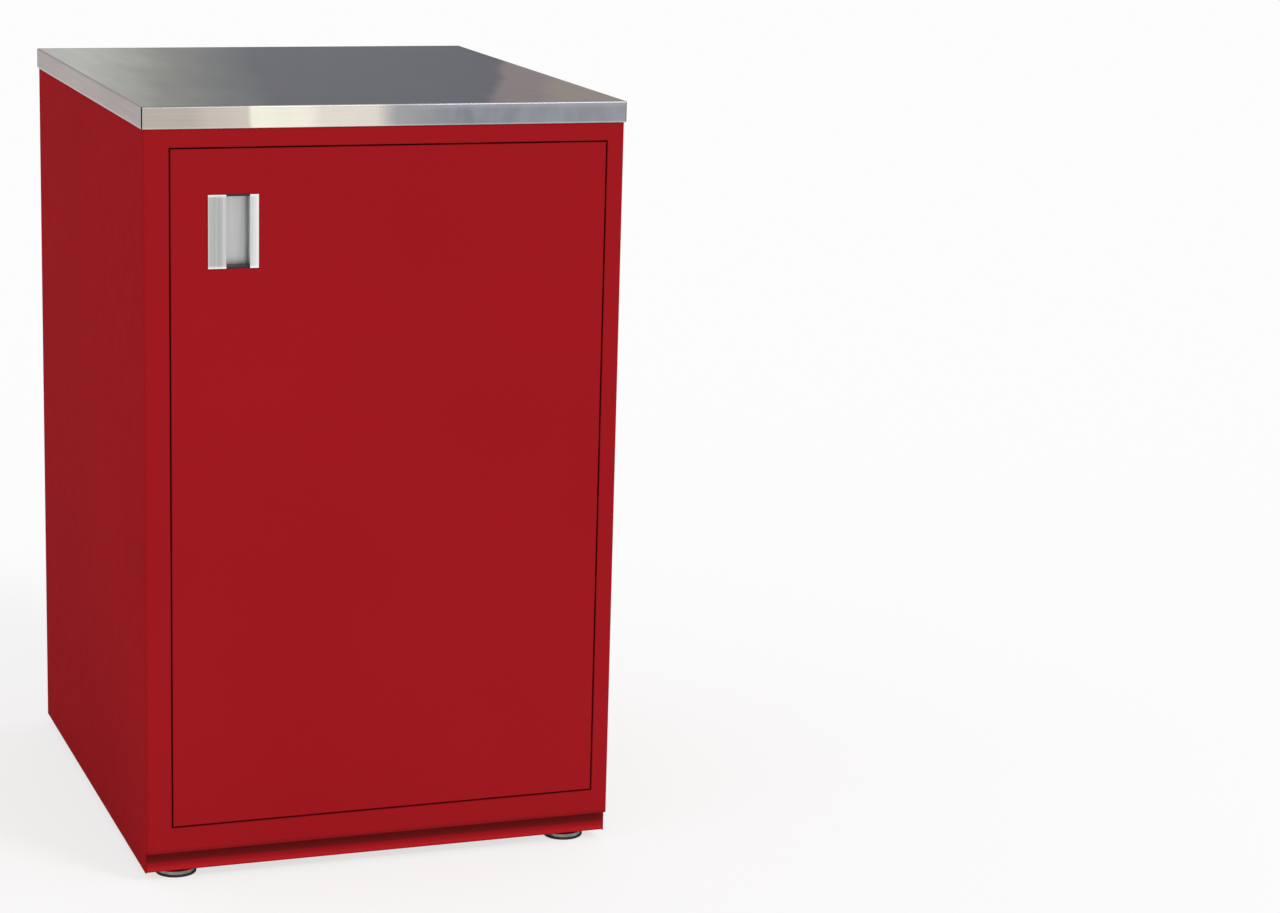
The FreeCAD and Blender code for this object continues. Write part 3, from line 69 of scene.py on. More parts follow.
IMAGE_WIDTH = 1280
SENSOR = 36.0
FOCAL_PIXELS = 3177.0
CAMERA_PLACE = Vector((-1.060, -4.066, 1.407))
CAMERA_YAW = math.radians(20.61)     # turned from +Y towards +X
CAMERA_PITCH = math.radians(12.67)   # tipped down
CAMERA_ROLL = math.radians(1.63)


def make_camera():
    """The camera at the photograph's viewing angle, with no shift."""
    data = bpy.data.cameras.new("camera")
    data.sensor_width = SENSOR
    data.lens = FOCAL_PIXELS / IMAGE_WIDTH * SENSOR
    data.clip_end = 200.0
    camera = bpy.data.objects.new("camera", data)
    bpy.context.scene.collection.objects.link(camera)
    forward = Vector((math.sin(CAMERA_YAW) * math.cos(CAMERA_PITCH),
                      math.cos(CAMERA_YAW) * math.cos(CAMERA_PITCH),
                      -math.sin(CAMERA_PITCH)))
    level = forward.cross(Vector((0, 0, 1))).normalized()
    upright = level.cross(forward)
    right = math.cos(CAMERA_ROLL) * level + math.sin(CAMERA_ROLL) * upright
    up = right.cross(forward)
    turn = Matrix((right, up, -forward)).transposed()
    camera.matrix_world = Matrix.Translation(CAMERA_PLACE) @ turn.to_4x4()
    bpy.context.scene.camera = camera


# ---------------------------------------------------------------- light and floor

AMBIENT = 0.78          # world light on the object; rays from the eye, gloss and glass see near white
SKY_SEEN = 0.98         # that white, as bright as the lit floor looks, so that no horizon shows
SUN_STRENGTH = 0.95
SUN_AZIMUTH = math.radians(35.0)
SUN_HEIGHT = math.radians(42.0)
SUN_SPREAD = math.radians(18.0)
FLOOR_SIZE = 120.0
FLOOR_TONE = 0.94
FLOOR_SEEN = 0.30       # how much of the lit floor the eye sees; plain white makes up the rest


def seeing_rays(nodes, links):
    """1 for the rays that come from the eye, from gloss or through glass, else 0."""
    path = nodes.new("ShaderNodeLightPath")
    seen = path.outputs["Is Camera Ray"]
    for other in ("Is Glossy Ray", "Is Transmission Ray"):
        either = nodes.new("ShaderNodeMath")
        either.operation = "MAXIMUM"
        links.new(seen, either.inputs[0])
        links.new(path.outputs[other], either.inputs[1])
        seen = either.outputs[0]
    return seen


def make_world():
    world = bpy.data.worlds.new("studio")
    bpy.context.scene.world = world
    world.use_nodes = True
    nodes, links = world.node_tree.nodes, world.node_tree.links
    nodes.clear()
    out = nodes.new("ShaderNodeOutputWorld")
    background = nodes.new("ShaderNodeBackground")
    background.inputs["Color"].default_value = (1, 1, 1, 1)
    strength = nodes.new("ShaderNodeMapRange")
    strength.inputs["To Min"].default_value = AMBIENT
    strength.inputs["To Max"].default_value = SKY_SEEN
    links.new(seeing_rays(nodes, links), strength.inputs["Value"])
    links.new(strength.outputs["Result"], background.inputs["Strength"])
    links.new(background.outputs[0], out.inputs["Surface"])


def make_sun():
    data = bpy.data.lights.new("key", "SUN")
    data.energy = SUN_STRENGTH
    data.angle = SUN_SPREAD
    sun = bpy.data.objects.new("key", data)
    bpy.context.scene.collection.objects.link(sun)
    towards = Vector((math.sin(SUN_AZIMUTH) * math.cos(SUN_HEIGHT),
                      -math.cos(SUN_AZIMUTH) * math.cos(SUN_HEIGHT), math.sin(SUN_HEIGHT)))
    sun.matrix_world = towards.to_track_quat("Z", "Y").to_matrix().to_4x4()


def make_floor():
    mesh = bpy.data.meshes.new("floor")
    reach = FLOOR_SIZE / 2
    mesh.from_pydata([(-reach, -reach, 0), (reach, -reach, 0), (reach, reach, 0), (-reach, reach, 0)],
                     [], [(0, 1, 2, 3)])
    floor = bpy.data.objects.new("floor", mesh)
    bpy.context.scene.collection.objects.link(floor)
    material = bpy.data.materials.new("floor")
    material.use_nodes = True
    nodes, links = material.node_tree.nodes, material.node_tree.links
    nodes.clear()
    out = nodes.new("ShaderNodeOutputMaterial")
    matt = nodes.new("ShaderNodeBsdfDiffuse")
    matt.inputs["Color"].default_value = (FLOOR_TONE, FLOOR_TONE, FLOOR_TONE, 1)
    white = nodes.new("ShaderNodeEmission")
    white.inputs["Color"].default_value = (1, 1, 1, 1)
    share = nodes.new("ShaderNodeMath")
    share.operation = "MULTIPLY"
    share.inputs[1].default_value = 1.0 - FLOOR_SEEN
    links.new(seeing_rays(nodes, links), share.inputs[0])
    both = nodes.new("ShaderNodeMixShader")
    links.new(share.outputs[0], both.inputs["Fac"])
    links.new(matt.outputs[0], both.inputs[1])
    links.new(white.outputs[0], both.inputs[2])
    links.new(both.outputs[0], out.inputs["Surface"])
    mesh.materials.append(material)


# ---------------------------------------------------------------- materials

def srgb(red, green, blue):
    """An 8-bit screen colour as the linear colour that a shader takes."""
    def linear(value):
        share = value / 255.0
        return share / 12.92 if share <= 0.04045 else ((share + 0.055) / 1.055) ** 2.4
    return (linear(red), linear(green), linear(blue), 1.0)


RELIEF = 0.02 * MM                    # depth of the fine relief of brushed and plated metal


class Look:
    """A procedural material in the object's own coordinates, in metres."""

    def __init__(self, name, metallic=0.0, specular=0.5, roughness=0.5):
        self.material = bpy.data.materials.new(name)
        self.material.use_nodes = True
        tree = self.material.node_tree
        self.nodes, self.links = tree.nodes, tree.links
        self.shader = self.nodes["Principled BSDF"]
        self.shader.inputs["Metallic"].default_value = metallic
        self.shader.inputs["Specular IOR Level"].default_value = specular
        self.shader.inputs["Roughness"].default_value = roughness
        self.place = self.nodes.new("ShaderNodeTexCoord").outputs["Object"]

    def add(self, kind, **settings):
        node = self.nodes.new("ShaderNode" + kind)
        for key, value in settings.items():
            setattr(node, key, value)
        return node

    def put(self, socket, value):
        """A number, a colour or another node's output into a socket."""
        if isinstance(value, (int, float, tuple)):
            socket.default_value = value
        else:
            self.links.new(value, socket)

    def noise(self, scale, detail=2.0, rough=0.5, stretch=(1, 1, 1)):
        """Noise around a half, with this many cells a metre."""
        mapping = self.add("Mapping")
        mapping.inputs["Scale"].default_value = stretch
        self.links.new(self.place, mapping.inputs["Vector"])
        node = self.add("TexNoise")
        node.inputs["Scale"].default_value = scale
        node.inputs["Detail"].default_value = detail
        node.inputs["Roughness"].default_value = rough
        self.links.new(mapping.outputs["Vector"], node.inputs["Vector"])
        return node.outputs["Fac"]

    def spread(self, value, low, high, start=0.3, end=0.7, smooth=False):
        """value from start..end mapped to low..high."""
        node = self.add("MapRange", interpolation_type="SMOOTHSTEP" if smooth else "LINEAR")
        for key, number in (("From Min", start), ("From Max", end), ("To Min", low), ("To Max", high)):
            node.inputs[key].default_value = number
        self.links.new(value, node.inputs["Value"])
        return node.outputs["Result"]

    def ramp(self, value, stops):
        """A colour ramp; stops are (place, colour)."""
        node = self.add("ValToRGB")
        elements = node.color_ramp.elements
        while len(elements) < len(stops):
            elements.new(0.5)
        for element, (where, colour) in zip(elements, stops):
            element.position = where
            element.color = colour
        self.links.new(value, node.inputs["Fac"])
        return node.outputs["Color"]

    def maths(self, operation, first, second=None):
        node = self.add("Math", operation=operation)
        self.put(node.inputs[0], first)
        if second is not None:
            self.put(node.inputs[1], second)
        return node.outputs[0]

    def mix(self, factor, first, second):
        """The first colour, with a share of the second mixed in."""
        node = self.add("Mix", data_type="RGBA")
        self.put(node.inputs["Factor"], factor)
        self.put(node.inputs[6], first)
        self.put(node.inputs[7], second)
        return node.outputs[2]

    def axis(self, letter):
        """One coordinate of the place."""
        node = self.add("SeparateXYZ")
        self.links.new(self.place, node.inputs[0])
        return node.outputs[letter.upper()]

    def near(self, letter, where, reach, share=1.0):
        """share where the coordinate is at a place, falling to 0 at reach from it."""
        off = self.maths("ABSOLUTE", self.maths("SUBTRACT", self.axis(letter), where))
        return self.spread(off, share, 0.0, 0.0, reach, smooth=True)

    def beside(self, low, high, width, reach, share):
        """share within a gap round an upright rectangle, falling to 0 at reach on either side of it."""
        out = []
        for letter, near, far in (("x", low.x, high.x), ("z", low.z, high.z)):
            off = self.maths("ABSOLUTE", self.maths("SUBTRACT", self.axis(letter), (near + far) / 2))
            out.append(self.maths("SUBTRACT", off, (far - near) / 2))
        beyond = self.maths("SUBTRACT", self.maths("MAXIMUM", *out), width / 2)
        beyond = self.maths("ABSOLUTE", beyond)
        return self.spread(beyond, share, 0.0, width / 2, width / 2 + reach, smooth=True)

    def slanted(self, slant):
        """The place along X, less a share of the place along Y."""
        return self.maths("SUBTRACT", self.axis("x"), self.maths("MULTIPLY", self.axis("y"), slant))

    def set(self, socket, value):
        self.put(self.shader.inputs[socket], value)

    def bump(self, height, distance):
        """Relief from a 0..1 height, distance deep in metres."""
        node = self.add("Bump")
        node.inputs["Distance"].default_value = distance
        self.links.new(height, node.inputs["Height"])
        self.links.new(node.outputs[0], self.shader.inputs["Normal"])


RED = (srgb(155, 25, 31), srgb(159, 27, 33))
LIT_LIP_RED = (srgb(178, 34, 39), srgb(183, 37, 42))      # painted light: the enamel made lighter for the shelf's edges and underside, against the shade inside
LIT_RED = (srgb(203, 50, 56), srgb(208, 54, 60))     # painted light: the enamel made lighter still for the shelf, the floor and the divider's front
SHADED_RED = (srgb(124, 13, 17), srgb(130, 15, 20))     # painted shade: the enamel made darker for the walls and the ceiling inside
# painted shade: a dark red laid on the enamel where shade falls, in the toe recess, along the door gap
# and along the lower edge of the front
PAINTED_SHADE = srgb(96, 26, 24)
GAP_SHADE = 0.30                      # the share of painted shade along the door gap
GAP_REACH = 2.2 * MM                  # how far it spreads on either side of the gap
HEM_SHADE = 0.5                       # the share of painted shade along a lower edge
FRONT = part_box("door_skin")[0].y      # the front plane of the door and its frame
FRONT_SKIN = 1.0 * MM                 # how far behind it a face still counts as on it
FLANGE = (3.0 * MM, 4.5 * MM)         # a side's painted inner shade fades out this far from front and back


def red_enamel(name="red_enamel", tones=RED, light_and_shadow_band=None, gap=None, hem=None, inside=None):
    """Baked enamel on steel: an even red with faint clouds, specks and orange peel. Painted shade may lie
    on it: a painted shadow above a painted lighter strip low on it (soiled: low, edge, high), along a
    door gap (gap: low corner, high corner, width) and along a lower edge (hem: height, reach), the
    last two on the front plane alone. The side that faces the inside may have other tones, as the
    photograph draws it: painted shade on walls and ceiling, painted light on shelf and floor (inside:
    axis, from, to, tones)."""
    look = Look(name, specular=0.001, roughness=0.55)
    cloud = look.spread(look.noise(3.0, 3.0), 0.0, 1.0)
    base = look.ramp(cloud, list(zip((0.0, 1.0), tones)))
    # the inner faces take their own tones: painted shade on walls and ceiling, painted light on shelf and
    # floor
    if inside:
        letter, start, end, inner_tones = inside
        reach = look.spread(look.axis(letter), 0.0, 1.0, start, end)
        if letter == "x":                # a side's front and rear flanges face outwards
            off = look.maths("ABSOLUTE", look.axis("y"))
            between = look.spread(off, 1.0, 0.0, -FRONT - FLANGE[1], -FRONT - FLANGE[0])
            reach = look.maths("MULTIPLY", reach, between)
        base = look.mix(reach, base, look.ramp(cloud, list(zip((0.0, 1.0), inner_tones))))
    speck = look.spread(look.noise(900.0), 0.0, 0.08)
    base = look.mix(speck, base, srgb(120, 14, 19))
    # on the toe: a painted lighter strip low down, and a painted shadow above it where the body's
    # overhang shades the plate
    if light_and_shadow_band:
        low, edge, high = light_and_shadow_band
        height = look.axis("z")
        base = look.mix(look.spread(height, 0.9, 0.0, low, edge, smooth=True), base, srgb(184, 34, 40))
        base = look.mix(look.spread(height, 0.0, 0.8, edge, high, smooth=True), base, PAINTED_SHADE)
    # painted shade along the door gap and along a lower edge, on the front plane alone
    shade_shares = []
    if gap:
        shade_shares.append(look.beside(*gap, GAP_REACH, GAP_SHADE))
    if hem:
        edge, reach = hem
        shade_shares.append(look.spread(look.axis("z"), HEM_SHADE, 0.0, edge, edge + reach, smooth=True))
    for share in shade_shares:
        front = look.spread(look.axis("y"), 1.0, 0.0, FRONT + FRONT_SKIN, FRONT + FRONT_SKIN * 1.5)
        base = look.mix(look.maths("MULTIPLY", share, front), base, PAINTED_SHADE)
    look.set("Base Color", base)
    look.set("Roughness", look.spread(look.noise(40.0, 3.0), 0.5, 0.6))
    look.bump(look.noise(260.0), 0.00001)
    return look.material


TOP_TINT = (0.3, 0.3, 0.31, 1.0)      # how bright a flat-on mirror stays at a glancing angle
FRONT_TINT = (0.4, 0.4, 0.41, 1.0)
END_TINT = (0.7, 0.7, 0.71, 1.0)
TOP_SLANT = 0.20                      # how far the top's painted reflection shifts in X for each metre of depth
PATCH_SLANT = 0.36                    # the same for the painted warm reflection near its right end
BAND_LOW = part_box("worktop_skin")[0].z      # the lower edge of the bands
TURN = (0.48, 0.62)                   # where the front band's painted reflection turns bluish, as a share of its width


def brushed(name, tint, lines_along):
    """A brushed stainless look and the noise of its lines."""
    look = Look(name, metallic=1.0, roughness=0.33)
    look.set("Specular Tint", tint)
    fine, slow = 900.0, 6.0
    stretch = tuple(slow if letter == lines_along else fine for letter in "xyz")
    lines = look.noise(1.0, 3.0, 0.6, stretch=stretch)
    look.set("Roughness", look.spread(lines, 0.28, 0.42))
    look.bump(lines, RELIEF)
    return look, lines


def stainless_top():
    """The top, its tones painted reflection: pale and greenish at the left, then bluish grey, with a warm
    patch at the right, dark streaks from front to back and darker front and back edges.
    """
    look, lines = brushed("stainless_top", TOP_TINT, "x")
    # the painted reflection runs across the top at a slant: further back its shades lie further to the
    # right
    across = look.spread(look.slanted(TOP_SLANT), 0.0, 1.0, LOW.x, HIGH.x)
    wander = look.spread(look.noise(11.0, 5.0, 0.62, stretch=(1.0, 0.3, 1.0)), -0.03, 0.03)
    along = look.maths("ADD", across, wander)
    colour = look.ramp(along, [
        (0.00, srgb(255, 255, 248)), (0.10, srgb(226, 228, 217)), (0.17, srgb(196, 198, 188)),
        (0.26, srgb(168, 170, 168)), (0.38, srgb(140, 141, 147)), (0.72, srgb(134, 136, 144)),
        (1.00, srgb(126, 126, 137))])
    # painted reflection: a pinkish patch near the right end, and a pale warm one further right
    ragged = look.spread(look.noise(9.0), -0.006, 0.006)
    lean = look.maths("ADD", look.slanted(PATCH_SLANT), ragged)
    colour = look.mix(look.spread(lean, 0.0, 0.9, 0.246, 0.268, smooth=True), colour, srgb(192, 172, 172))
    colour = look.mix(look.spread(lean, 0.0, 0.6, 0.305, 0.345, smooth=True), colour, srgb(210, 196, 180))
    # painted reflection: dark streaks from front to back
    reflection_streak = look.spread(look.noise(60.0, 4.0, 0.6, stretch=(1.0, 0.12, 1.0)), 0.0, 0.12)
    colour = look.mix(reflection_streak, colour, srgb(112, 113, 118))
    # painted reflection: darker along the front and back edges
    for edge, reach in ((LOW.y, 0.012), (HIGH.y, 0.016)):
        colour = look.mix(look.near("y", edge, reach, 0.35), colour, srgb(84, 86, 90))
    look.set("Base Color", look.mix(look.spread(lines, 0.0, 0.12), colour, srgb(78, 78, 82)))
    return look.material


def stainless_front():
    """The front and back bands, their tones painted reflection: warm grey, a cream stretch with a sharp
    start, then bluish grey.
    """
    look, lines = brushed("stainless_front", FRONT_TINT, "x")
    across = look.spread(look.axis("x"), 0.0, 1.0, LOW.x, HIGH.x)
    drift = look.maths("ADD", across, look.spread(look.noise(14.0), -0.006, 0.006))
    colour = look.ramp(drift, [
        (0.000, srgb(190, 183, 174)), (0.090, srgb(192, 184, 175)), (0.130, srgb(207, 197, 187)),
        (0.214, srgb(219, 208, 198)), (0.222, srgb(255, 254, 234)), (0.330, srgb(255, 248, 232)),
        (0.360, srgb(238, 228, 218)), (0.475, srgb(236, 227, 217)), (0.515, srgb(165, 167, 168)),
        (0.660, srgb(132, 136, 143)), (1.000, srgb(146, 148, 154))])
    # painted reflection: bluish mottled patches, mostly over the bluish half
    patch = look.spread(look.noise(34.0, 2.0, stretch=(1.0, 1.0, 0.6)), 0.0, 1.0, 0.40, 0.62)
    bluish = look.maths("MULTIPLY", patch, look.spread(across, 0.05, 0.26, *TURN))
    colour = look.mix(bluish, colour, srgb(180, 181, 196))
    cloud = look.spread(look.noise(5.0, 2.0), 0.0, 0.10)
    colour = look.mix(cloud, colour, srgb(176, 176, 182))
    # a painted highlight under the fold on the bluish half, and painted shade on the fold on the warm
    # half
    for reach, warm_share, bluish_share, tone in ((9.0 * MM, 0.0, 0.7, srgb(180, 180, 187)),
                                                  (3.2 * MM, 0.6, 0.15, srgb(126, 124, 121))):
        share = look.spread(across, warm_share, bluish_share, *TURN)
        colour = look.mix(look.maths("MULTIPLY", look.near("z", HIGH.z, reach), share), colour, tone)
    # painted highlight along the band's lower edge
    colour = look.mix(look.near("z", BAND_LOW, 3.2 * MM, 0.40), colour, srgb(245, 255, 250))
    look.set("Base Color", look.mix(look.spread(lines, 0.0, 0.12), colour, srgb(92, 90, 92)))
    return look.material


def stainless_ends():
    """The left and right bands: an even pinkish grey, with painted shade along the top fold and a painted
    highlight as a pale lower edge.
    """
    look, lines = brushed("stainless_ends", END_TINT, "y")
    cloud = look.spread(look.noise(7.0, 3.0), 0.0, 1.0)
    colour = look.ramp(cloud, [(0.0, srgb(188, 174, 171)), (1.0, srgb(196, 185, 180))])
    # painted shade along the top fold
    colour = look.mix(look.near("z", HIGH.z, 2.6 * MM, 0.6), colour, srgb(96, 88, 88))
    # painted highlight along the lower edge
    colour = look.mix(look.near("z", BAND_LOW, 4.4 * MM, 0.85), colour, srgb(224, 230, 220))
    look.set("Base Color", look.mix(look.spread(lines, 0.0, 0.14), colour, srgb(92, 86, 86)))
    return look.material


def pull_metal():
    """Satin extruded metal with draw lines, painted highlights along its edges and cut ends, and painted
    light in the inner corner under the lip.
    """
    low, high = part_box("door_pull")
    look = Look("pull_metal", metallic=1.0, roughness=0.36)
    look.set("Specular Tint", (0.8, 0.8, 0.8, 1.0))
    across = look.spread(look.axis("x"), 0.0, 1.0, low.x, high.x)
    # painted highlights: the bright edges and the bright stripe beside the recess; the bright stop under
    # the lip is painted light against its shade
    stops = [(0.000, srgb(216, 226, 217)), (0.035, srgb(188, 195, 191)), (0.150, srgb(194, 193, 190)),
             (0.270, srgb(188, 191, 192)), (0.295, srgb(212, 212, 212)), (0.352, srgb(214, 214, 214)),
             (0.370, srgb(197, 197, 197)), (0.730, srgb(205, 205, 205)), (0.800, srgb(240, 241, 241)),
             (0.850, srgb(218, 220, 220)), (0.930, srgb(236, 238, 237)), (0.985, srgb(255, 255, 253))]
    colour = look.ramp(across, stops)
    draw = look.noise(1.0, 3.0, 0.6, stretch=(1400.0, 1400.0, 9.0))
    colour = look.mix(look.spread(draw, 0.0, 0.20), colour, srgb(118, 120, 120))
    is_front = look.spread(look.axis("y"), 1.0, 0.0, low.y + 1.2 * MM, low.y + 2.2 * MM)
    # painted highlights on the front of the cut ends
    for edge in (low.z, high.z):
        end_highlight = look.maths("MULTIPLY", look.near("z", edge, 4.2 * MM, 0.9), is_front)
        colour = look.mix(end_highlight, colour, srgb(250, 254, 250))
    look.set("Base Color", colour)
    look.set("Roughness", look.spread(draw, 0.30, 0.44))
    look.bump(draw, RELIEF)
    return look.material


def metal(name, light, dark, roughness, scale=60.0, rim_tint=1.0):
    """A plain metal finish between two tones, with fine relief; rim_tint is how bright it stays at a
    glancing angle."""
    look = Look(name, metallic=1.0, roughness=roughness)
    look.set("Specular Tint", (rim_tint, rim_tint, rim_tint, 1.0))
    cloud = look.spread(look.noise(scale, 3.0), 0.0, 1.0)
    tone = look.ramp(cloud, [(0.0, dark), (1.0, light)])
    fine = look.noise(scale * 12, 2.0)
    look.set("Base Color", look.mix(look.spread(fine, 0.0, 0.35), tone, dark))
    look.set("Roughness", look.spread(fine, roughness - 0.06, roughness + 0.10))
    look.bump(fine, RELIEF)
    return look.material


def matt(name, light, dark, roughness):
    """A dull non-metal between two tones."""
    look = Look(name, specular=0.3, roughness=roughness)
    cloud = look.spread(look.noise(90.0, 4.0, 0.6), 0.0, 1.0)
    look.set("Base Color", look.ramp(cloud, [(0.0, dark), (1.0, light)]))
    look.set("Roughness", look.spread(look.noise(360.0), roughness - 0.08, roughness + 0.08))
    look.bump(look.noise(810.0, 2.0), 2 * RELIEF)
    return look.material


def board():
    """Chipboard with specks of wood, its edges painted dark as the shade seen through the worktop's
    corner seams.
    """
    look = Look("board", specular=0.2, roughness=0.8)
    chips = look.ramp(look.spread(look.noise(260.0, 4.0, 0.7), 0.0, 1.0),
                      [(0.0, srgb(140, 108, 72)), (0.5, srgb(176, 148, 112)), (1.0, srgb(198, 172, 134))])
    # painted shade: the board's edges darkened so the corner seams show dark
    seam_shade = 0.0
    low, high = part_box("worktop_core")
    for letter, edge in (("x", low.x), ("x", high.x), ("y", low.y), ("y", high.y)):
        seam_shade = look.maths("MAXIMUM", seam_shade, look.near(letter, edge, 1.0 * MM))
    look.set("Base Color", look.mix(seam_shade, chips, srgb(46, 42, 40)))
    look.bump(look.noise(500.0, 3.0), 5 * RELIEF)
    return look.material


TOE_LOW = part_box("toe_plate")[0].z
DOOR_GAP = (*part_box("door_skin"), 1.9 * MM)
LOWER_HEM = (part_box("bottom_rail")[0].z, 6.5 * MM)
DIVIDER_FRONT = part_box("pocket_divider")[0].y
SHELF_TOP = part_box("shelf_pan")[1].z

MATERIALS = {
    "red_enamel": red_enamel(),
    "pull_metal": pull_metal(),
    "zinc_steel": metal("zinc_steel", srgb(182, 182, 184), srgb(132, 134, 138), 0.38),
    "black_rubber": matt("black_rubber", srgb(50, 50, 52), srgb(34, 34, 36), 0.7),
    "black_plastic": matt("black_plastic", srgb(44, 48, 47), srgb(32, 36, 35), 0.5),
    "nylon": matt("nylon", srgb(226, 222, 212), srgb(212, 208, 198), 0.45),
    "magnet": metal("magnet", srgb(120, 120, 122), srgb(90, 90, 92), 0.4),
    "board": board(),
}
FOOT_STEEL = metal("foot_steel", srgb(158, 147, 141), srgb(112, 112, 107), 0.24,
                   scale=120.0, rim_tint=0.1)
# painted shade along the door gap and along the lower edge of the front
FRAME_ENAMEL = red_enamel("frame_enamel", gap=DOOR_GAP, hem=LOWER_HEM)


def inner_side(node, letter, sign):
    """The painted shade from the middle of a panel's outer sheet inwards, along an axis into the locker.
    """
    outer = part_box(node)[0 if sign > 0 else 1]["xyz".index(letter)]
    return letter, outer + sign * 0.5 * MM, outer + sign * 0.9 * MM, SHADED_RED


ENAMELS = {
    # painted shade along the door gap
    "door_skin": red_enamel("door_enamel", gap=DOOR_GAP),
    "top_rail": FRAME_ENAMEL,
    "bottom_rail": FRAME_ENAMEL,
    # a painted shadow under the body's overhang, above a painted lighter strip
    "toe_plate": red_enamel("toe_enamel",
                            light_and_shadow_band=(TOE_LOW + 4.0 * MM, TOE_LOW + 10.5 * MM, TOE_LOW + 15.5 * MM)),
    # painted shade along the door gap and the lower edge of the front, and over the inner faces
    "left_side_panel": red_enamel("left_enamel", gap=DOOR_GAP, hem=LOWER_HEM,
                                  inside=inner_side("left_side_panel", "x", 1)),
    "right_side_panel": red_enamel("right_enamel", gap=DOOR_GAP, hem=LOWER_HEM,
                                   inside=inner_side("right_side_panel", "x", -1)),
    # painted shade over the back's inner face
    "back_panel": red_enamel("back_enamel", inside=inner_side("back_panel", "y", -1)),
    # painted shade over the whole ceiling
    "top_panel": red_enamel("ceiling_enamel", SHADED_RED),
    # painted light on the divider's front, painted shade behind it
    "pocket_divider": red_enamel("divider_enamel", LIT_RED, inside=(
        "y", DIVIDER_FRONT + 1.0 * MM, DIVIDER_FRONT + 2.0 * MM, SHADED_RED)),
    # painted light: the shelf's edges and underside lighter, its top lighter still
    "shelf_pan": red_enamel("shelf_enamel", LIT_LIP_RED, inside=(
        "z", SHELF_TOP - 0.8 * MM, SHELF_TOP - 0.4 * MM, LIT_RED)),
    # painted light over the whole floor
    "floor_panel": red_enamel("floor_enamel", LIT_RED),
}
STAINLESS = [stainless_top(), stainless_front(), stainless_ends()]


def dress_nodes():
    """Each CAD node takes its own enamel, or else the material of its slot."""
    slots = {entry["node"]: entry["material_slot"] for entry in frame["record"]["subparts"]}
    for name, obj in frame["nodes"].items():
        material = ENAMELS.get(name) or MATERIALS.get(slots[name], STAINLESS[1])
        obj.data.materials.clear()
        obj.data.materials.append(material)


# ---------------------------------------------------------------- making pieces

SHARP = math.radians(38.0)


def finish_piece(bm, name, node, materials):
    """Makes one piece of a mesh, in place of a CAD node and on the node's body."""
    bmesh.ops.recalc_face_normals(bm, faces=bm.faces)
    for face in bm.faces:
        face.smooth = True
    for edge in bm.edges:
        edge.smooth = edge.is_manifold and edge.calc_face_angle() < SHARP
    mesh = bpy.data.meshes.new(name)
    bm.to_mesh(mesh)
    bm.free()
    for material in materials:
        mesh.materials.append(material)
    piece = bpy.data.objects.new(name, mesh)
    bpy.context.scene.collection.objects.link(piece)
    normals = piece.modifiers.new("normals", "WEIGHTED_NORMAL")
    normals.keep_sharp = True
    body = next(body for body, nodes in frame["record"]["behaviour"]["bodies"].items() if node in nodes)
    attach(piece, body)
    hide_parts(node)


def solids(node):
    """The box of each separate solid in a CAD node, in order of place."""
    bm = bmesh.new()
    bm.from_mesh(frame["nodes"][node].data)
    bmesh.ops.remove_doubles(bm, verts=bm.verts, dist=1e-6)
    left, boxes = set(bm.verts), []
    while left:
        reached = [left.pop()]
        for vertex in reached:
            for edge in vertex.link_edges:
                other = edge.other_vert(vertex)
                if other in left:
                    left.discard(other)
                    reached.append(other)
        low = Vector([min(vertex.co[i] for vertex in reached) for i in range(3)])
        high = Vector([max(vertex.co[i] for vertex in reached) for i in range(3)])
        boxes.append((low, high))
    bm.free()
    return sorted(boxes, key=lambda box: [round(value, 4) for value in box[0]])


def stand(box, axis):
    """A frame at the start of a box along an axis, with its own Z along that axis."""
    low, high = box
    towards = Vector(axis)
    middle = (low + high) / 2
    length = abs((high - low).dot(towards))
    start = middle - towards * length / 2
    return Matrix.Translation(start) @ towards.to_track_quat("Z", "Y").to_matrix().to_4x4(), length / MM


def turned(bm, place, profile, steps=32, shape=None, closed=False):
    """A solid of revolution in a frame. profile is (radius, height) in millimetres, from axis to
    axis, or a loop if closed; shape(radius, angle, height) may move each point."""
    rings = []
    for radius, height in profile:
        ring = []
        for step in range(steps if radius else 1):
            angle = 2 * math.pi * step / steps
            out, up = shape(radius, angle, height) if shape else (radius, height)
            ring.append(bm.verts.new(place @ Vector((out * math.cos(angle), out * math.sin(angle), up))))
        rings.append(ring)
    pairs = list(zip(rings, rings[1:]))
    if closed:
        pairs.append((rings[-1], rings[0]))
    for low, high in pairs:
        for step in range(steps):
            around = (low[step % len(low)], low[(step + 1) % len(low)],
                      high[(step + 1) % len(high)], high[step % len(high)])
            bm.faces.new(list(dict.fromkeys(around)))


def in_metres(profile):
    return [(radius * MM, height * MM) for radius, height in profile]


def arc(middle, radius, start, end, steps):
    """Points on an arc, from one angle to another in degrees."""
    angles = [math.radians(start + (end - start) * step / steps) for step in range(steps + 1)]
    return [(middle[0] + radius * math.cos(angle), middle[1] + radius * math.sin(angle))
            for angle in angles]


def dome(radius, height):
    """Points on a domed head, from its middle out."""
    angles = [math.radians(angle) for angle in (15, 30, 45, 60, 75, 90)]
    return [(0, 0)] + [(radius * math.sin(angle), height * (1 - math.cos(angle))) for angle in angles]


# ---------------------------------------------------------------- worktop

SHEET = 1.5 * MM
RETURN = 16.0 * MM
FOLD = 2.2 * MM          # outer radius of the fold between the top and a band
HEM = 1.7 * MM           # outer radius of the fold between a band and its return
SEAM = 1.3 * MM          # how far each band stops short of the corner


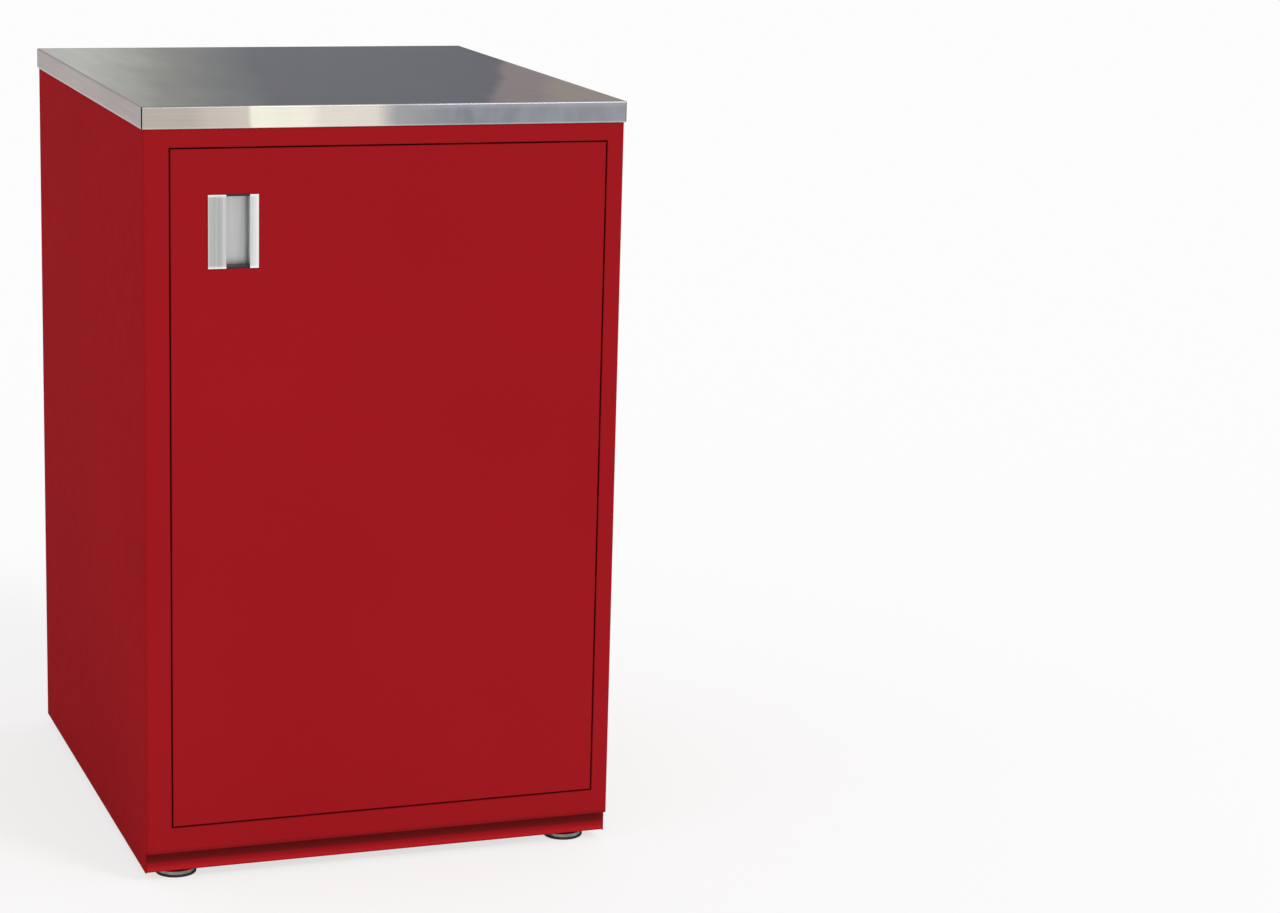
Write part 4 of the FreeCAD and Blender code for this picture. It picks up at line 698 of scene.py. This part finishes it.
def worktop_sheet():
    """The stainless sheet: a top with four bands folded down and under, open at the corners."""
    low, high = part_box("worktop_skin")
    middle = (low + high) / 2
    top, bottom = high.z, low.z
    half = (high - low) / 2
    outline = (arc((FOLD, top - FOLD), FOLD, 90, 180, 6)
               + arc((HEM, bottom + HEM), HEM, 180, 270, 6)
               + [(RETURN, bottom), (RETURN, bottom + SHEET)]
               + arc((HEM, bottom + HEM), HEM - SHEET, 270, 180, 4)
               + arc((FOLD, top - FOLD), FOLD - SHEET, 180, 90, 4))
    bm = bmesh.new()
    rim = {True: [], False: []}          # the flat top's outline, on its upper and lower face
    sides = [(Vector((1, 0, 0)), Vector((0, 1, 0)), half.x, half.y),
             (Vector((0, 1, 0)), Vector((-1, 0, 0)), half.y, half.x),
             (Vector((-1, 0, 0)), Vector((0, -1, 0)), half.x, half.y),
             (Vector((0, -1, 0)), Vector((1, 0, 0)), half.y, half.x)]
    for number, (along, inward, reach, away) in enumerate(sides):
        def point(inset, height, end):
            flat = Vector((middle.x, middle.y, 0)) - inward * (away - inset) + along * end
            return bm.verts.new((flat.x, flat.y, height))
        starts = [point(u, z, -(reach - u - SEAM)) for u, z in outline]
        ends = [point(u, z, reach - u - SEAM) for u, z in outline]
        faces = [bm.faces.new((starts[k], ends[k], ends[k + 1], starts[k + 1]))
                 for k in range(len(outline) - 1)]
        faces += [bm.faces.new(starts), bm.faces.new(list(reversed(ends)))]
        for face in faces:
            face.material_index = 1 + number % 2
        for upper, height, index in ((True, top, 0), (False, top - SHEET, -1)):
            corner = point(FOLD, height, -(reach - FOLD))
            rim[upper] += [corner, starts[index], ends[index]]
    bm.faces.new(rim[True])
    bm.faces.new(list(reversed(rim[False])))
    count = len(rim[True])
    for k in range(count):
        if k % 3 != 1:                   # a band closes the rim between its own two ends
            bm.faces.new((rim[True][k], rim[False][k],
                          rim[False][(k + 1) % count], rim[True][(k + 1) % count]))
    finish_piece(bm, "worktop_sheet", "worktop_skin", STAINLESS)


# ---------------------------------------------------------------- feet

THREAD_PITCH = 1.75
THREAD_DEPTH = 0.9
PAD_RIBS = 40
PAD_RIB_DEPTH = 0.35


def rubber_foot(foot):
    """The rubber disc: ribbed round its side, grooved underneath, with a rim round the cup."""
    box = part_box(foot + "_foot_pad")
    place, height = stand(box, (0, 0, 1))
    radius = (box[1] - box[0]).x / 2 / MM
    seat = radius - 1.2
    profile = [(0, 0.6), (4.0, 0.6), (5.0, 0.0), (9.0, 0.0), (10.0, 0.6), (12.0, 0.6), (13.0, 0.0),
               (17.0, 0.0), (18.0, 0.6), (20.0, 0.6), (21.0, 0.0), (radius - 0.8, 0.0), (radius, 0.7),
               (radius, 2.6), (radius - 0.25, 3.1), (radius - 0.5, height), (seat + 0.25, height),
               (seat + 0.05, height - 0.5), (seat + 0.05, height / 2), (0, height / 2)]

    def ribbed(out, angle, up):
        if abs(out - radius * MM) >= 0.1 * MM:
            return out, up
        return out - PAD_RIB_DEPTH * MM * (0.5 - 0.5 * math.cos(PAD_RIBS * angle)), up

    bm = bmesh.new()
    turned(bm, place, in_metres(profile), PAD_RIBS * 4, ribbed)
    finish_piece(bm, foot + "_foot_tread", foot + "_foot_pad", [MATERIALS["black_rubber"]])


def pressed_cup(foot):
    """The plated steel cup: a rolled rim, a rounded shoulder and a raised collar round the stem."""
    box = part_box(foot + "_foot_cup")
    place, height = stand(box, (0, 0, 1))
    rim = (box[1] - box[0]).x / 2 / MM
    profile = ([(6.3, 0.2), (rim - 1.0, 0.0)] + arc((rim - 0.9, 0.9), 0.9, -80, 30, 4)
               + [(rim - 0.3, 1.8), (rim - 0.9, 4.2)] + arc((rim - 3.3, 4.2), 2.4, 10, 80, 5)
               + [(15.5, height - 0.7), (12.0, height - 0.6), (11.0, height - 0.4), (10.4, height - 0.1),
                  (9.8, height), (6.6, height), (6.3, height - 0.3)])
    bm = bmesh.new()
    turned(bm, place, in_metres(profile), 64, closed=True)
    finish_piece(bm, foot + "_foot_dome", foot + "_foot_cup", [FOOT_STEEL])


def threaded_stem(foot):
    """The stem: a round thread from the cup up, with a plain lower end and a chamfered tip."""
    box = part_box(foot + "_foot_stem")
    place, height = stand(box, (0, 0, 1))
    radius = (box[1] - box[0]).x / 2 / MM
    plain, tip = 4.0, 1.2
    rows = int((height - plain - tip) / THREAD_PITCH * 6)
    profile = ([(0, 0), (radius - 0.6, 0), (radius - 0.1, 0.5), (radius - 0.1, plain - 0.2)]
               + [(radius, plain + (height - plain - tip) * row / rows) for row in range(rows + 1)]
               + [(radius - THREAD_DEPTH - 0.2, height), (0, height)])

    def thread(out, angle, up):
        if out < (radius - 0.05) * MM:
            return out, up
        phase = (up / MM / THREAD_PITCH - angle / (2 * math.pi)) % 1.0
        return out - THREAD_DEPTH * MM * abs(2 * phase - 1), up

    bm = bmesh.new()
    turned(bm, place, in_metres(profile), 24, thread)
    finish_piece(bm, foot + "_foot_screw", foot + "_foot_stem", [MATERIALS["zinc_steel"]])


# ---------------------------------------------------------------- fasteners

RECESS_SLOPE = 0.12 * MM
LARGE_SCREW = (4.2, 2.4, 2.2)         # head radius, head height and shank radius, in millimetres


def cross_recess(reach, width, depth, head):
    """Sinks a cross into the top of a screw head; sizes in metres, head is the head's height."""
    def sunk(out, angle, up):
        if up >= head * 0.8:
            return out, up
        off = out * min(abs(math.sin(angle)), abs(math.cos(angle)))
        side = min(1.0, max(0.0, (width / 2 + RECESS_SLOPE - off) / RECESS_SLOPE))
        end = min(1.0, max(0.0, (reach - out) / (RECESS_SLOPE * 2)))
        return out, up + depth * side * end
    return sunk


def screws(node, name, axis, head_radius, head_height, shank_radius):
    """Pan-head screws with a cross recess, one in each solid of a node; axis runs from head to tip."""
    bm = bmesh.new()
    for box in solids(node):
        place, length = stand(box, axis)
        crown = head_height * 0.45
        profile = [(0, 0)]
        for share in (0.08, 0.16, 0.24, 0.32, 0.40, 0.46, 0.52, 0.58, 0.64, 0.72, 0.82, 0.92):
            profile.append((head_radius * share, crown * share ** 2.4))
        profile += [(head_radius * 0.98, crown * 1.15), (head_radius, crown * 1.6),
                    (head_radius, head_height - 0.1), (head_radius - 0.1, head_height),
                    (shank_radius, head_height), (shank_radius, length - 0.5 * shank_radius),
                    (shank_radius * 0.5, length), (0, length)]
        sunk = cross_recess(head_radius * 0.6 * MM, head_radius * 0.24 * MM, head_height * 0.45 * MM,
                            head_height * MM)
        turned(bm, place, in_metres(profile), 48, sunk)
    finish_piece(bm, name, node, [MATERIALS["zinc_steel"]])


def pop_rivets():
    """Blind rivets: a domed head with the broken mandrel sunk in its middle."""
    bm = bmesh.new()
    for box in solids("body_rivets"):
        place, length = stand(box, (0, -1, 0))
        profile = [(0, 0.75), (0.55, 0.65), (0.75, 0.80), (0.85, 0.12), (1.15, 0.0), (1.9, 0.12),
                   (2.8, 0.45), (3.4, 0.85), (3.6, 1.05), (3.6, 1.2), (2.0, 1.2), (2.0, length - 0.6),
                   (1.5, length), (0, length)]
        turned(bm, place, in_metres(profile), 32)
    finish_piece(bm, "pop_rivets", "body_rivets", [MATERIALS["zinc_steel"]])


def axles():
    """Riveted axles with a domed head, and the rollers that turn on them."""
    bm = bmesh.new()
    for box in solids("roller_axles"):
        place, length = stand(box, (1, 0, 0))
        profile = dome(4.9, 1.1) + [(5.0, 1.6), (4.8, 2.0), (3.0, 2.0), (3.0, length - 0.5),
                                    (2.5, length), (0, length)]
        turned(bm, place, in_metres(profile), 32)
    finish_piece(bm, "riveted_axles", "roller_axles", [MATERIALS["zinc_steel"]])
    bm = bmesh.new()
    for box in solids("track_rollers"):
        place, length = stand(box, (1, 0, 0))
        rim = (box[1] - box[0]).y / 2 / MM
        face = [(3.1, 0.3), (3.4, 0.0), (5.6, 0.0), (6.1, 0.4), (6.4, 1.3), (rim - 3.6, 1.3),
                (rim - 3.1, 0.4), (rim - 2.7, 0.0), (rim - 0.8, 0.0), (rim, 0.8)]
        tread = [(rim, length / 2 - 1.2), (rim - 0.7, length / 2 - 0.5)]
        half = face + tread
        profile = half + [(radius, length - up) for radius, up in reversed(half)]
        turned(bm, place, in_metres(profile), 48, closed=True)
    finish_piece(bm, "grooved_rollers", "track_rollers", [MATERIALS["nylon"]])


def pins():
    """Hinge pins with a domed head and a rounded foot."""
    bm = bmesh.new()
    for box in solids("hinge_pins"):
        place, length = stand(box, (0, 0, -1))
        profile = dome(3.6, 0.9) + [(3.6, 1.3), (3.4, 1.5), (2.5, 1.5), (2.5, length - 0.8),
                                    (1.7, length), (0, length)]
        turned(bm, place, in_metres(profile), 32)
    finish_piece(bm, "domed_pins", "hinge_pins", [MATERIALS["zinc_steel"]])


def bumper():
    """The round rubber bumper: a domed ring with its screw sunk in the middle."""
    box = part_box("door_bumper")
    place, length = stand(box, (0, 1, 0))
    rim = (box[1] - box[0]).x / 2 / MM
    profile = [(1.6, 1.5), (3.0, 1.5), (3.1, 0.5), (3.5, 0.1), (4.2, 0.0), (5.2, 0.15), (6.0, 0.6),
               (rim - 0.1, 1.2), (rim, 1.9), (rim, length - 0.3), (rim - 0.3, length), (1.6, length)]
    bm = bmesh.new()
    turned(bm, place, in_metres(profile), 48, closed=True)
    finish_piece(bm, "domed_bumper", "door_bumper", [MATERIALS["black_rubber"]])


# ---------------------------------------------------------------- the whole

make_camera()
make_world()
make_sun()
make_floor()
dress_nodes()

worktop_sheet()
for foot in ("front_left", "front_right", "rear_left", "rear_right"):
    rubber_foot(foot)
    pressed_cup(foot)
    threaded_stem(foot)
screws("worktop_screws", "worktop_pan_heads", (0, 0, 1), *LARGE_SCREW)
screws("hinge_arm_screws", "hinge_arm_pan_heads", (1, 0, 0), *LARGE_SCREW)
screws("carriage_screws", "carriage_pan_heads", (1, 0, 0), *LARGE_SCREW)
screws("catch_screws", "catch_pan_heads", (0, 0, 1), 2.8, 1.5, 1.4)
screws("bumper_screw", "bumper_pan_head", (0, 1, 0), 2.75, 1.0, 1.5)
pop_rivets()
axles()
pins()
bumper()

bpy.context.scene.view_settings.view_transform = "Standard"
